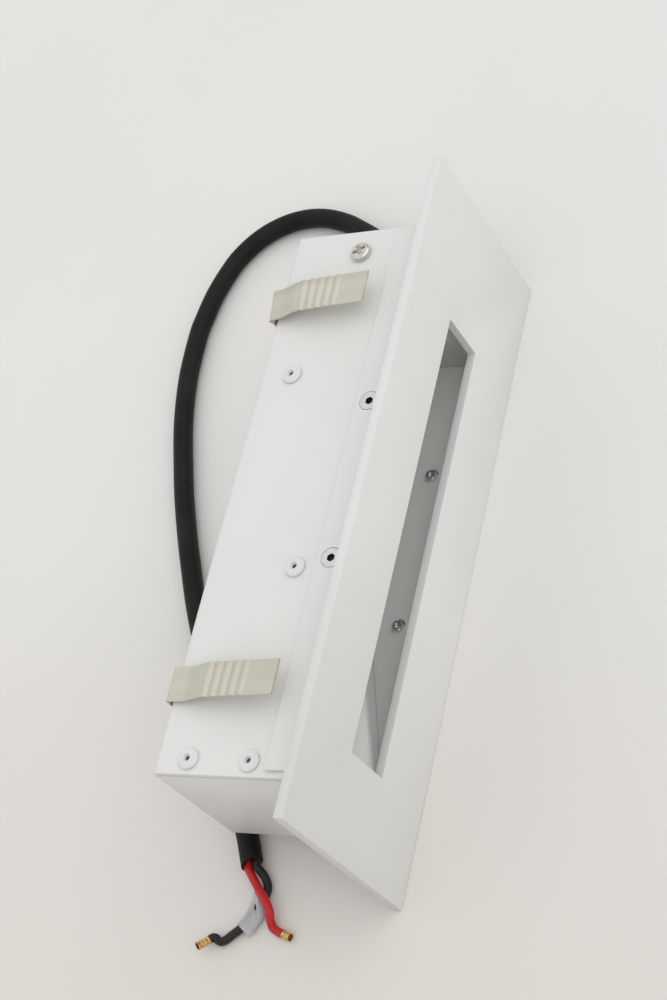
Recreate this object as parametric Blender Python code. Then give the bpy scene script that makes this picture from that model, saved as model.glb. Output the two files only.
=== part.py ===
"""Recessed stair light, as it lies on a bench before it is pushed into the wall.

Metres, +Z up. X runs along the light, from the riveted end (-X) to the cable end (+X).
The face plate looks along -Y. The origin is the middle of the face plate's back,
which is the plane of the wall. The loose cable lies at the level of the plate's lower edge.
"""
import math

import bmesh
import bpy
from mathutils import Matrix, Vector

# Gaps shared by all pieces, and the step along cords in diameters
CLEAR = 0.0003
OVERRUN = 0.0030
TUBE_STEP_DIAMETERS = 0.9

# Face plate
PLATE_OVERLAP = 0.0170
PLATE_RISE = 0.0140
PLATE_THICKNESS = 0.0032
PLATE_EDGE = 0.0003
SLOT_LENGTH = 0.1525
SLOT_HEIGHT = 0.0208

# Housing shell, one sheet folded round top, back and bottom
HOUSING_FAR_ROOM = 0.02405
HOUSING_HEIGHT = 0.0500
HOUSING_DEPTH = 0.0550
SHELL_SHEET = 0.0015
SHELL_BEND = 0.0020

# Folded flanges on the plate's back, which lap over the shell
FLANGE_SHEET = 0.0012
FLANGE_LAP = 0.0150
FLANGE_FOOT = 0.0080
FLANGE_SHORT = 0.0020

# End caps, pans whose lips lie inside the shell
CAP_SHEET = 0.0012
CAP_INSET = 0.0005
CAP_BEND = 0.0016
NEAR_CAP_LIP = 0.0090
NEAR_CAP_GAP = 0.00055
FAR_CAP_LIP = 0.0135

# Blind rivets
RIVET_RADIUS = 0.0016
RIVET_HEAD_RADIUS = 0.0033
RIVET_HEAD_HEIGHT = 0.0010
RIVET_HEAD_EDGE = 0.0004
RIVET_EYE_RADIUS = 0.0010
RIVET_EYE_DEPTH = 0.0012
RIVET_BULB_RADIUS = 0.0024
RIVET_BULB_LENGTH = 0.0022
RIVET_SIDES = 16
END_RIVET_INSET = 0.0051
END_RIVET_FRONT = 0.0216
END_RIVET_BACK_INSET = 0.0120
NEAR_CARRIER_RIVET = -0.0294
FAR_CARRIER_RIVET = 0.0419
NEAR_CARRIER_RIVET_GAP = 0.0041
FAR_CARRIER_RIVET_GAP = 0.0038
STRAP_RIVET_INSET = 0.0130

# Countersunk socket screws through the flanges
FLANGE_SCREW_RADIUS = 0.0020
FLANGE_SCREW_HEAD_RADIUS = 0.0039
FLANGE_SCREW_HEAD_LENGTH = 0.0021
FLANGE_SCREW_TAIL = 0.0017
FLANGE_SCREW_TIP = 0.0003
FLANGE_SCREW_CUP_RADIUS = 0.0011
FLANGE_SCREW_CUP_DEPTH = 0.0006
SOCKET_ACROSS_FLATS = 0.0025
SOCKET_DEPTH = 0.0014
FLANGE_SCREW_DEPTH = 0.0100
NEAR_FLANGE_SCREW = -0.0264
FAR_FLANGE_SCREW = 0.0293

# Pan-head screws and pressed nuts of the far end cap
PAN_SCREW_RADIUS = 0.0019
PAN_HEAD_RADIUS = 0.0040
PAN_HEAD_HEIGHT = 0.0025
PAN_HEAD_RIM = 0.0012
PAN_FLAT_SHARE = 0.55
PAN_ROUND_SHARE = 0.86
PAN_SCREW_TAIL = 0.0003
CROSS_SPAN = 0.0046
CROSS_WIDTH = 0.0009
CROSS_DEPTH = 0.0013
CAP_SCREW_INSET = 0.0092
CAP_NUT_RADIUS = 0.0036
CAP_NUT_HEIGHT = 0.0024

# Reflector tray seen through the slot
TRAY_SHEET = 0.0010
TRAY_BEND = 0.0140
TRAY_MARGIN = 0.0047
BULB_ROOM = 0.0029

# Aluminium plate that carries the LEDs
CARRIER_THICKNESS = 0.0020

# LED board, its pad and its clear cover
PAD_THICKNESS = 0.0005
BOARD_THICKNESS = 0.0016
BOARD_WIDTH = 0.0120
BOARD_SHIFT = 0.0050
BOARD_NEAR_INSET = 0.0080
BOARD_FAR_INSET = 0.0060
LED_COUNT = 9
LED_LENGTH = 0.0030
LED_WIDTH = 0.0028
LED_HEIGHT = 0.0008
LED_SINK = 0.0001
COVER_WALL = 0.0010
COVER_HEIGHT = 0.0040
COVER_SIDE_INSET = 0.0010
COVER_TAB = 0.0060
COVER_TAIL_ROOM = 0.0100
COVER_SCREW_RADIUS = 0.0014
COVER_SCREW_HEAD_RADIUS = 0.0026
COVER_SCREW_HEAD_HEIGHT = 0.0017
COVER_SCREW_HEAD_RIM = 0.0009

# Spring clips: a strap on the housing's back and a leaf at each end of it
CLIP_INSET = 0.0285
CLIP_WIDTH = 0.0120
SPRING_SHEET = 0.0006
STRAP_END_GAP = 0.0003
LEAF_BEND = 0.0009
LEAF_ROOT_RISE = 0.0005
LEAF_KINK_RUN = 0.0141
LEAF_KINK_RISE = 0.0048
LEAF_END_RUN = 0.0420
LEAF_END_RISE = 0.0087
FAR_LEAF_SHORT = 0.0022
LEAF_RIDGES = 5
LEAF_RIDGE_HEIGHT = 0.0005
LEAF_RIDGE_FIRST_SHARE = 0.07
LEAF_RIDGE_LAST_SHARE = 0.62

# Strain relief, cable and cable tie
CABLE_RADIUS = 0.0037
RELIEF_BACK = 0.0300
RELIEF_INSET = 0.0120
RELIEF_NECK_RADIUS = 0.0052
RELIEF_TAIL_LENGTH = 0.0055
RELIEF_INNER_RADIUS = 0.0070
RELIEF_INNER_LENGTH = 0.0015
RELIEF_OUTER_RADIUS = 0.0080
RELIEF_OUTER_LENGTH = 0.0018
RELIEF_NOSE_LENGTH = 0.0095
RELIEF_NOSE_BASE_RADIUS = 0.0066
RELIEF_NOSE_TIP_RADIUS = 0.0050
RELIEF_GROOVES = 3
RELIEF_GROOVE_DEPTH = 0.0008
RELIEF_GROOVE_SHARE = 0.35
INNER_CABLE_LENGTH = 0.0135
TIE_PLACE = 0.0026
TIE_WIDTH = 0.0030
TIE_THICKNESS = 0.0013
TIE_HEAD = 0.0050

# Terminal block, its screw, the grommet and the wires inside
BLOCK_LENGTH = 0.0080
BLOCK_WIDTH = 0.0150
BLOCK_HEIGHT = 0.0110
BLOCK_FRONT = 0.0060
BLOCK_STEP = 0.0030
BLOCK_SCREW_RADIUS = 0.0012
BLOCK_SCREW_HEAD_RADIUS = 0.0021
BLOCK_SCREW_HEAD_HEIGHT = 0.0014
BLOCK_SCREW_HEAD_RIM = 0.0006
BLOCK_SCREW_LENGTH = 0.0045
BLOCK_SCREW_WELL = 0.0026
GROMMET_INSET = 0.0130
GROMMET_BORE = 0.0027
GROMMET_NECK = 0.0035
GROMMET_FLANGE = 0.0048
GROMMET_FLANGE_LENGTH = 0.0010
BLOCK_POLE_SPREAD = 0.0020
BLOCK_POLE_RISE = 0.0050
BLOCK_TOP_INSET = 0.0045
INNER_WIRE_RADIUS = 0.00075
INNER_WIRE_SPREAD = 0.0012
FEED_WIRE_PULL = 0.0080
BOARD_WIRE_PULL = 0.0200
TAIL_WIRE_PULL = 0.0060
WIRE_RUN_OUT = 0.0025
BOARD_WIRE_INSET = 0.0030

# Wires, crimp sleeves and marker at the cable's cut end
WIRE_RADIUS = 0.0014
FERRULE_BORE = 0.0007
FERRULE_RADIUS = 0.0014
FERRULE_LENGTH = 0.0046
FERRULE_BAND = 0.0010
FERRULE_WAIST_SHARE = 0.80
MARKER_WIDTH = 0.0056
MARKER_HEIGHT = 0.0038
MARKER_SLACK = 0.0003
MARKER_FIRST = 7
MARKER_LAST = 11

# Levels that many pieces share
HOUSING_NEAR_ROOM = CAP_INSET + NEAR_CAP_LIP + NEAR_CAP_GAP
HALF_LENGTH = (HOUSING_NEAR_ROOM + SLOT_LENGTH + HOUSING_FAR_ROOM) / 2 + TRAY_MARGIN
SLOT_SHIFT = (HOUSING_NEAR_ROOM - HOUSING_FAR_ROOM) / 2
HALF_HEIGHT = HOUSING_HEIGHT / 2
PLATE_END = HALF_LENGTH + PLATE_OVERLAP
PLATE_TOP = HALF_HEIGHT + PLATE_RISE
SHELL_FRONT = FLANGE_SHEET + 2 * CLEAR
SHELL_INSIDE = HALF_HEIGHT - SHELL_SHEET
LINER = SHELL_INSIDE - CLEAR
BACK_INSIDE = HOUSING_DEPTH - SHELL_SHEET
LINER_BACK = BACK_INSIDE - CLEAR
LINER_FRONT = SHELL_FRONT + CLEAR
CAP_FACE = HALF_LENGTH - CAP_INSET
FLANGE_OUTSIDE = HALF_HEIGHT + CLEAR + FLANGE_SHEET
TRAY_NEAR = SLOT_SHIFT - SLOT_LENGTH / 2 - TRAY_MARGIN
TRAY_FAR = SLOT_SHIFT + SLOT_LENGTH / 2 + TRAY_MARGIN
TRAY_BACK = BACK_INSIDE - BULB_ROOM
CARRIER_BOTTOM = LINER - CARRIER_THICKNESS
TRAY_TOP = CARRIER_BOTTOM - CLEAR
PAD_TOP = CARRIER_BOTTOM - CLEAR
BOARD_TOP = PAD_TOP - PAD_THICKNESS - CLEAR
BOARD_BOTTOM = BOARD_TOP - BOARD_THICKNESS
BOARD_NEAR = TRAY_NEAR + BOARD_NEAR_INSET
BOARD_FAR = TRAY_FAR - BOARD_FAR_INSET
BOARD_MIDDLE = HOUSING_DEPTH / 2 + BOARD_SHIFT
BOARD_FRONT = BOARD_MIDDLE - BOARD_WIDTH / 2
NEAR_CARRIER_RIVET_Y = BOARD_FRONT - NEAR_CARRIER_RIVET_GAP
FAR_CARRIER_RIVET_Y = BOARD_FRONT + BOARD_WIDTH + FAR_CARRIER_RIVET_GAP
END_RIVET_BACK = HOUSING_DEPTH - END_RIVET_BACK_INSET
CLIP_PLACE = HALF_LENGTH - CLIP_INSET
STRAP_RIVET_RISE = HALF_HEIGHT - STRAP_RIVET_INSET
GROMMET_PLACE = (BOARD_MIDDLE, HALF_HEIGHT - GROMMET_INSET)
COVER_TOP = BOARD_BOTTOM - CLEAR
COVER_NEAR = BOARD_NEAR + COVER_SIDE_INSET
COVER_FAR = BOARD_FAR - COVER_TAIL_ROOM
COVER_SCREW_NEAR = COVER_NEAR + COVER_TAB / 2
COVER_SCREW_FAR = COVER_FAR - COVER_TAB / 2
LEAF_PIVOT_Y = HOUSING_DEPTH + CLEAR + SPRING_SHEET / 2
LEAF_PIVOT_Z = HALF_HEIGHT + SPRING_SHEET / 3
RELIEF_PLACE = (RELIEF_BACK, RELIEF_INSET - HALF_HEIGHT)
RELIEF_TIP = CAP_FACE + CLEAR + RELIEF_OUTER_LENGTH + RELIEF_NOSE_LENGTH
CABLE_LEVEL = CABLE_RADIUS - PLATE_TOP
INNER_CABLE_END = CAP_FACE - INNER_CABLE_LENGTH
BLOCK_NEAR = TRAY_FAR + CLEAR * 4
BLOCK_TOP = -LINER + BLOCK_HEIGHT

# Route of the loose cable to its cut end: X from the strain relief's tip, Y from its axis,
# and the share of its height over the bench
CABLE_ROUTE = [
    (0.0003, 0.0000, 1.000), (0.0019, 0.0000, 1.000), (0.0080, 0.0014, 0.960),
    (0.0135, 0.0040, 0.883), (0.0180, 0.0077, 0.771), (0.0215, 0.0121, 0.632),
    (0.0240, 0.0170, 0.471), (0.0256, 0.0220, 0.300), (0.0280, 0.0271, 0.161),
    (0.0313, 0.0322, 0.063), (0.0354, 0.0371, 0), (0.0389, 0.0426, 0),
    (0.0423, 0.0482, 0), (0.0449, 0.0542, 0), (0.0468, 0.0604, 0),
    (0.0475, 0.0668, 0), (0.0470, 0.0733, 0), (0.0453, 0.0794, 0),
    (0.0424, 0.0852, 0), (0.0384, 0.0902, 0), (0.0335, 0.0944, 0),
    (0.0280, 0.0976, 0), (0.0158, 0.1019, 0), (0.0031, 0.1040, 0),
    (-0.0033, 0.1045, 0),
    (-0.0194, 0.1038, 0), (-0.0332, 0.1018, 0), (-0.0468, 0.0987, 0),
    (-0.0610, 0.0944, 0), (-0.0753, 0.0897, 0), (-0.0901, 0.0841, 0),
    (-0.1045, 0.0781, 0), (-0.1227, 0.0700, 0), (-0.1441, 0.0590, 0),
    (-0.1651, 0.0478, 0), (-0.1851, 0.0370, 0), (-0.2031, 0.0267, 0),
    (-0.2074, 0.0245, 0), (-0.2107, 0.0230, 0), (-0.2137, 0.0216, 0),
]

# Routes of the two wires beyond the jacket, X and Y as above, Z from the lying cable's axis
RED_ROUTE = [
    (-0.2146, 0.0228, 0.0000), (-0.2157, 0.0223, 0.0000), (-0.2188, 0.0195, 0.0002),
    (-0.2215, 0.0169, 0.0006), (-0.2240, 0.0144, 0.0008), (-0.2267, 0.0121, 0.0007),
    (-0.2286, 0.0107, -0.0001), (-0.2307, 0.0103, -0.0013), (-0.2328, 0.0092, -0.0021),
    (-0.2343, 0.0071, -0.0023), (-0.2349, 0.0058, -0.0023),
]
BLACK_ROUTE = [
    (-0.2133, 0.0201, 0.0000), (-0.2144, 0.0196, 0.0000), (-0.2171, 0.0167, -0.0011),
    (-0.2196, 0.0153, -0.0020), (-0.2220, 0.0151, -0.0023), (-0.2242, 0.0159, -0.0022),
    (-0.2266, 0.0174, -0.0019), (-0.2292, 0.0191, -0.0017), (-0.2318, 0.0208, -0.0017),
    (-0.2344, 0.0226, -0.0018), (-0.2366, 0.0248, -0.0022), (-0.2378, 0.0274, -0.0023),
    (-0.2382, 0.0296, -0.0023), (-0.2396, 0.0312, -0.0023),
]

# Finishes: colour, roughness, metallic, alpha
FINISHES = {
    "white_paint": ((0.86, 0.86, 0.86), 0.45, 0.0, 1.0),
    "white_enamel": ((0.80, 0.80, 0.80), 0.55, 0.0, 1.0),
    "rivet_paint": ((0.82, 0.82, 0.82), 0.40, 0.0, 1.0),
    "nickel": ((0.62, 0.60, 0.57), 0.28, 1.0, 1.0),
    "zinc": ((0.55, 0.55, 0.55), 0.35, 1.0, 1.0),
    "spring_steel": ((0.60, 0.58, 0.54), 0.32, 1.0, 1.0),
    "aluminium": ((0.72, 0.72, 0.73), 0.40, 1.0, 1.0),
    "board_white": ((0.78, 0.79, 0.76), 0.50, 0.0, 1.0),
    "clear_plastic": ((0.90, 0.92, 0.93), 0.15, 0.0, 0.4),
    "pad_grey": ((0.45, 0.47, 0.50), 0.80, 0.0, 1.0),
    "black_rubber": ((0.020, 0.020, 0.020), 0.55, 0.0, 1.0),
    "black_sleeve": ((0.015, 0.015, 0.015), 0.40, 0.0, 1.0),
    "red_sleeve": ((0.55, 0.02, 0.02), 0.40, 0.0, 1.0),
    "brass": ((0.70, 0.48, 0.20), 0.30, 1.0, 1.0),
    "grey_plastic": ((0.50, 0.51, 0.52), 0.50, 0.0, 1.0),
    "tie_plastic": ((0.75, 0.75, 0.72), 0.45, 0.0, 1.0),
    "marker_plastic": ((0.85, 0.87, 0.88), 0.35, 0.0, 0.5),
}


# General helpers


def clear_scene():
    for obj in list(bpy.data.objects):
        bpy.data.objects.remove(obj, do_unlink=True)


def finish_material(name):
    """Return the shared material of one finish."""
    found = bpy.data.materials.get(name)
    if found:
        return found
    colour, roughness, metallic, alpha = FINISHES[name]
    made = bpy.data.materials.new(name)
    made.use_nodes = True
    shader = made.node_tree.nodes["Principled BSDF"]
    shader.inputs["Base Color"].default_value = (*colour, 1.0)
    shader.inputs["Roughness"].default_value = roughness
    shader.inputs["Metallic"].default_value = metallic
    shader.inputs["Alpha"].default_value = alpha
    made.diffuse_color = (*colour, alpha)
    return made


def place(name, data, finish):
    """Put mesh or curve data in the scene as a named piece."""
    obj = bpy.data.objects.new(name, data)
    bpy.context.scene.collection.objects.link(obj)
    if finish:
        data.materials.append(finish_material(finish))
    return obj


def mesh_piece(name, shape, finish, smooth=False):
    """Turn a bmesh into a piece with its faces pointing out."""
    bmesh.ops.recalc_face_normals(shape, faces=shape.faces)
    mesh = bpy.data.meshes.new(name)
    shape.to_mesh(mesh)
    shape.free()
    if smooth:
        mesh.shade_smooth()
        mesh.set_sharp_from_angle(angle=math.radians(35))
    return place(name, mesh, finish)


def add_block(shape, low, high):
    """Add a box between two corners to a bmesh."""
    low = Vector(low)
    high = Vector(high)
    middle = (low + high) / 2
    size = high - low
    matrix = Matrix.Translation(middle) @ Matrix.Diagonal((*size, 1.0))
    bmesh.ops.create_cube(shape, size=1.0, matrix=matrix)


def block(name, low, high, finish):
    shape = bmesh.new()
    add_block(shape, low, high)
    return mesh_piece(name, shape, finish)


def prism(name, outline, axis, start, stop, finish):
    """Extrude a flat outline along one axis.

    The outline's points are (Y, Z) along X and (X, Z) along Y.
    """
    spread = {
        "X": lambda u, v, w: (w, u, v),
        "Y": lambda u, v, w: (u, w, v),
    }[axis]
    shape = bmesh.new()
    first = [shape.verts.new(spread(u, v, start)) for u, v in outline]
    last = [shape.verts.new(spread(u, v, stop)) for u, v in outline]
    shape.faces.new(first)
    shape.faces.new(last)
    for i in range(len(outline)):
        j = (i + 1) % len(outline)
        shape.faces.new((first[i], first[j], last[j], last[i]))
    return mesh_piece(name, shape, finish)


def axis_matrix(origin, direction):
    """Frame whose Z runs along a direction from an origin."""
    turn = Vector(direction).to_track_quat("Z", "Y").to_matrix().to_4x4()
    return Matrix.Translation(Vector(origin)) @ turn


def add_turned(shape, profile, matrix, sides, ring=False):
    """Add a turned solid to a bmesh; a ring profile closes on itself."""
    loops = []
    for radius, along in profile:
        if radius == 0:
            loops.append([shape.verts.new(matrix @ Vector((0, 0, along)))])
            continue
        loop = []
        for k in range(sides):
            turn = 2 * math.pi * k / sides
            point = Vector((radius * math.cos(turn), radius * math.sin(turn), along))
            loop.append(shape.verts.new(matrix @ point))
        loops.append(loop)
    pairs = list(zip(loops, loops[1:]))
    if ring:
        pairs.append((loops[-1], loops[0]))
    for below, above in pairs:
        for k in range(sides):
            m = (k + 1) % sides
            corners = [below[k % len(below)], below[m % len(below)]]
            corners += [above[m % len(above)], above[k % len(above)]]
            shape.faces.new(list(dict.fromkeys(corners)))


def turned(name, profile, origin, direction, finish, sides=16, ring=False):
    shape = bmesh.new()
    add_turned(shape, profile, axis_matrix(origin, direction), sides, ring)
    return mesh_piece(name, shape, finish, smooth=True)


def arc(centre, radius, start, stop, steps):
    """Points of an arc in a flat outline, angles in degrees."""
    points = []
    for k in range(steps + 1):
        turn = math.radians(start + (stop - start) * k / steps)
        points.append((centre[0] + radius * math.cos(turn), centre[1] + radius * math.sin(turn)))
    return points


def hide_tool(obj):
    """Keep a cutter or a joined helper out of the model."""
    obj.hide_render = True
    obj.display_type = "WIRE"


def combine(target, tool, operation):
    modifier = target.modifiers.new(tool.name, "BOOLEAN")
    modifier.operation = operation
    modifier.solver = "EXACT"
    modifier.object = tool
    hide_tool(tool)


def drill(target, holes, sides=16):
    """Cut round holes, each given as (start, direction, radius, length)."""
    shape = bmesh.new()
    for start, direction, radius, length in holes:
        profile = [(0, 0), (radius, 0), (radius, length), (0, length)]
        add_turned(shape, profile, axis_matrix(start, direction), sides)
    tool = mesh_piece(target.name + "_drill", shape, None)
    combine(target, tool, "DIFFERENCE")


def smooth_points(route, spacing):
    """Points on a smooth curve through a route; its first and last steps stay straight."""
    knots = [Vector(p) for p in route]
    fine = []
    steps = 24
    for a, b, c, d in zip(knots, knots[1:], knots[2:], knots[3:]):
        for k in range(steps):
            t = k / steps
            even = 2 * b + (c - a) * t
            bend = (2 * a - 5 * b + 4 * c - d) * t ** 2 + (3 * b - a - 3 * c + d) * t ** 3
            fine.append((even + bend) / 2)
    fine.append(knots[-2])
    travelled = [0.0]
    for p, q in zip(fine, fine[1:]):
        travelled.append(travelled[-1] + (q - p).length)
    count = max(2, round(travelled[-1] / spacing))
    points = []
    j = 0
    for k in range(count + 1):
        goal = travelled[-1] * k / count
        while j < len(fine) - 2 and travelled[j + 1] < goal:
            j += 1
        share = (goal - travelled[j]) / (travelled[j + 1] - travelled[j])
        points.append(fine[j].lerp(fine[j + 1], min(1.0, share)))
    length = travelled[-1] + (knots[1] - knots[0]).length + (knots[-1] - knots[-2]).length
    return [knots[0]] + points + [knots[-1]], length


def tube(name, route, radius, finish, resolution=2):
    """A cord or wire as a curve with filled ends."""
    points, length = smooth_points(route, TUBE_STEP_DIAMETERS * 2 * radius)
    curve = bpy.data.curves.new(name, "CURVE")
    curve.dimensions = "3D"
    curve.fill_mode = "FULL"
    curve.bevel_depth = radius
    curve.bevel_resolution = resolution
    curve.use_fill_caps = True
    spline = curve.splines.new("POLY")
    spline.points.add(len(points) - 1)
    for target, point in zip(spline.points, points):
        target.co = (*point, 1.0)
    print(name, "length", round(length, 4), "points", len(points))
    return place(name, curve, finish)


# Face plate and its flanges


def make_face_plate():
    plate = block(
        "face_plate",
        (-PLATE_END, -PLATE_THICKNESS, -PLATE_TOP),
        (PLATE_END, 0, PLATE_TOP),
        "white_paint",
    )
    slot = block(
        "face_plate_slot",
        (SLOT_SHIFT - SLOT_LENGTH / 2, -PLATE_THICKNESS - OVERRUN, -SLOT_HEIGHT / 2),
        (SLOT_SHIFT + SLOT_LENGTH / 2, OVERRUN, SLOT_HEIGHT / 2),
        None,
    )
    combine(plate, slot, "DIFFERENCE")
    edge = plate.modifiers.new("edge", "BEVEL")
    edge.width = PLATE_EDGE
    edge.segments = 2
    edge.limit_method = "ANGLE"


def flange_screw_places():
    return (NEAR_FLANGE_SCREW, FAR_FLANGE_SCREW)


def countersink(target, side):
    """Cut the seats of the flange screws on one side, +1 top or -1 bottom."""
    slope = (FLANGE_SCREW_HEAD_RADIUS - FLANGE_SCREW_RADIUS) / FLANGE_SCREW_HEAD_LENGTH
    wide = FLANGE_SCREW_HEAD_RADIUS + CLEAR
    narrow = FLANGE_SCREW_RADIUS + CLEAR
    deep = HOUSING_HEIGHT / 4
    shape = bmesh.new()
    for x in flange_screw_places():
        profile = [
            (0, -OVERRUN),
            (wide + slope * OVERRUN, -OVERRUN),
            (narrow, FLANGE_SCREW_HEAD_LENGTH),
            (narrow, deep),
            (0, deep),
        ]
        origin = (x, FLANGE_SCREW_DEPTH, side * FLANGE_OUTSIDE)
        add_turned(shape, profile, axis_matrix(origin, (0, 0, -side)), 16)
    tool = mesh_piece(target.name + "_sink_" + ("top" if side > 0 else "bottom"), shape, None)
    combine(target, tool, "DIFFERENCE")


def make_flange(name, side):
    """Folded strip: a foot on the plate's back and a lap over the shell."""
    foot_end = FLANGE_OUTSIDE - FLANGE_FOOT
    inner = FLANGE_OUTSIDE - FLANGE_SHEET
    outline = [
        (CLEAR, foot_end),
        (CLEAR + FLANGE_SHEET, foot_end),
        (CLEAR + FLANGE_SHEET, inner),
        (FLANGE_LAP, inner),
        (FLANGE_LAP, FLANGE_OUTSIDE),
    ]
    outline += arc((CLEAR + FLANGE_SHEET, inner), FLANGE_SHEET, 90, 180, 3)
    outline = [(y, side * z) for y, z in outline]
    half = HALF_LENGTH - FLANGE_SHORT
    flange = prism(name, outline, "X", -half, half, "white_paint")
    countersink(flange, side)


def make_flange_screw(name, x, side, stack):
    """Countersunk socket screw; the stack is what it clamps."""
    length = stack + FLANGE_SCREW_TAIL
    profile = [
        (0, 0),
        (FLANGE_SCREW_HEAD_RADIUS, 0),
        (FLANGE_SCREW_RADIUS, FLANGE_SCREW_HEAD_LENGTH),
        (FLANGE_SCREW_RADIUS, length - FLANGE_SCREW_TIP),
        (FLANGE_SCREW_RADIUS - FLANGE_SCREW_TIP, length),
        (FLANGE_SCREW_CUP_RADIUS, length),
        (0, length - FLANGE_SCREW_CUP_DEPTH),
    ]
    origin = (x, FLANGE_SCREW_DEPTH, side * FLANGE_OUTSIDE)
    screw = turned(name, profile, origin, (0, 0, -side), "nickel")
    corner = SOCKET_ACROSS_FLATS / math.sqrt(3)
    shape = bmesh.new()
    hexagon = [(0, -OVERRUN), (corner, -OVERRUN), (corner, SOCKET_DEPTH), (0, SOCKET_DEPTH)]
    add_turned(shape, hexagon, axis_matrix(origin, (0, 0, -side)), 6)
    combine(screw, mesh_piece(name + "_socket", shape, None), "DIFFERENCE")


def make_flange_screws():
    top_stack = FLANGE_SHEET + CLEAR + SHELL_SHEET + CLEAR + CARRIER_THICKNESS
    bottom_stack = FLANGE_SHEET + CLEAR + SHELL_SHEET + CLEAR + TRAY_SHEET
    for place_name, x in zip(("near", "far"), flange_screw_places()):
        make_flange_screw("flange_screw_top_" + place_name, x, 1, top_stack)
        make_flange_screw("flange_screw_bottom_" + place_name, x, -1, bottom_stack)


# Housing shell and end caps


def end_rivet_places():
    x = -HALF_LENGTH + END_RIVET_INSET
    return [
        ("front_top", (x, END_RIVET_FRONT, HALF_HEIGHT), (0, 0, -1)),
        ("back_top", (x, END_RIVET_BACK, HALF_HEIGHT), (0, 0, -1)),
        ("front_bottom", (x, END_RIVET_FRONT, -HALF_HEIGHT), (0, 0, 1)),
        ("back_bottom", (x, END_RIVET_BACK, -HALF_HEIGHT), (0, 0, 1)),
    ]


def carrier_rivet_places():
    return [
        ("near", (NEAR_CARRIER_RIVET, NEAR_CARRIER_RIVET_Y, HALF_HEIGHT), (0, 0, -1)),
        ("far", (FAR_CARRIER_RIVET, FAR_CARRIER_RIVET_Y, HALF_HEIGHT), (0, 0, -1)),
    ]


def strap_rivet_places():
    back = HOUSING_DEPTH + CLEAR + SPRING_SHEET
    places = []
    for end, x in (("near", -CLIP_PLACE), ("far", CLIP_PLACE)):
        for level, z in (("upper", STRAP_RIVET_RISE), ("lower", -STRAP_RIVET_RISE)):
            places.append((end + "_" + level, (x, back, z), (0, -1, 0)))
    return places


def cap_screw_places():
    x = HALF_LENGTH - CAP_SCREW_INSET
    middle = (LINER_FRONT + LINER_BACK) / 2
    return [
        ("top", (x, middle, HALF_HEIGHT), (0, 0, -1)),
        ("bottom", (x, middle, -HALF_HEIGHT), (0, 0, 1)),
    ]


def holes_at(places, radius):
    """Through holes for a set of (name, point, direction) fasteners."""
    holes = []
    for _, point, direction in places:
        start = Vector(point) - Vector(direction) * OVERRUN
        holes.append((start, direction, radius + CLEAR, OVERRUN + HOUSING_HEIGHT / 4))
    return holes


def make_housing_shell():
    bend = SHELL_BEND
    corner_y = HOUSING_DEPTH - bend
    corner_z = HALF_HEIGHT - bend
    inner_bend = bend - SHELL_SHEET
    outside = [(SHELL_FRONT, -HALF_HEIGHT)]
    outside += arc((corner_y, -corner_z), bend, -90, 0, 4)
    outside += arc((corner_y, corner_z), bend, 0, 90, 4)
    outside += [(SHELL_FRONT, HALF_HEIGHT)]
    inside = [(SHELL_FRONT, SHELL_INSIDE)]
    inside += arc((corner_y, corner_z), inner_bend, 90, 0, 2)
    inside += arc((corner_y, -corner_z), inner_bend, 0, -90, 2)
    inside += [(SHELL_FRONT, -SHELL_INSIDE)]
    shell = prism("housing_shell", outside + inside, "X", -HALF_LENGTH, HALF_LENGTH, "white_paint")
    drill(
        shell,
        holes_at(end_rivet_places(), RIVET_RADIUS)
        + holes_at(carrier_rivet_places(), RIVET_RADIUS)
        + holes_at(strap_rivet_places(), RIVET_RADIUS)
        + holes_at(cap_screw_places(), PAN_SCREW_RADIUS)
        + [block_screw_hole()],
    )
    countersink(shell, 1)
    countersink(shell, -1)


def cap_outline(face, lip):
    """Pan section in X and Z; the lip runs towards the light's middle."""
    inward = -1 if face > 0 else 1
    middle_turn = 0 if face > 0 else 180
    centre_x = face + inward * CAP_BEND
    centre_z = LINER - CAP_BEND
    inner = CAP_BEND - CAP_SHEET
    turn = 90 if face > 0 else -90
    outline = [(face + inward * lip, LINER)]
    outline += arc((centre_x, centre_z), CAP_BEND, middle_turn + turn, middle_turn, 3)
    outline += arc((centre_x, -centre_z), CAP_BEND, middle_turn, middle_turn - turn, 3)
    outline += [(face + inward * lip, -LINER), (face + inward * lip, CAP_SHEET - LINER)]
    outline += arc((centre_x, -centre_z), inner, middle_turn - turn, middle_turn, 2)
    outline += arc((centre_x, centre_z), inner, middle_turn, middle_turn + turn, 2)
    outline += [(face + inward * lip, LINER - CAP_SHEET)]
    return outline


def make_end_caps():
    near_outline = cap_outline(-CAP_FACE, NEAR_CAP_LIP)
    near = prism("end_cap_near", near_outline, "Y", LINER_FRONT, LINER_BACK, "white_paint")
    drill(near, holes_at(end_rivet_places(), RIVET_RADIUS))
    far_outline = cap_outline(CAP_FACE, FAR_CAP_LIP)
    far = prism("end_cap_far", far_outline, "Y", LINER_FRONT, LINER_BACK, "white_paint")
    relief_start = (CAP_FACE - CAP_SHEET - OVERRUN, *RELIEF_PLACE)
    relief_hole = (relief_start, (1, 0, 0), RELIEF_NECK_RADIUS + CLEAR, CAP_SHEET + 2 * OVERRUN)
    drill(far, holes_at(cap_screw_places(), PAN_SCREW_RADIUS) + [relief_hole], sides=20)


# Fasteners of the housing


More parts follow.
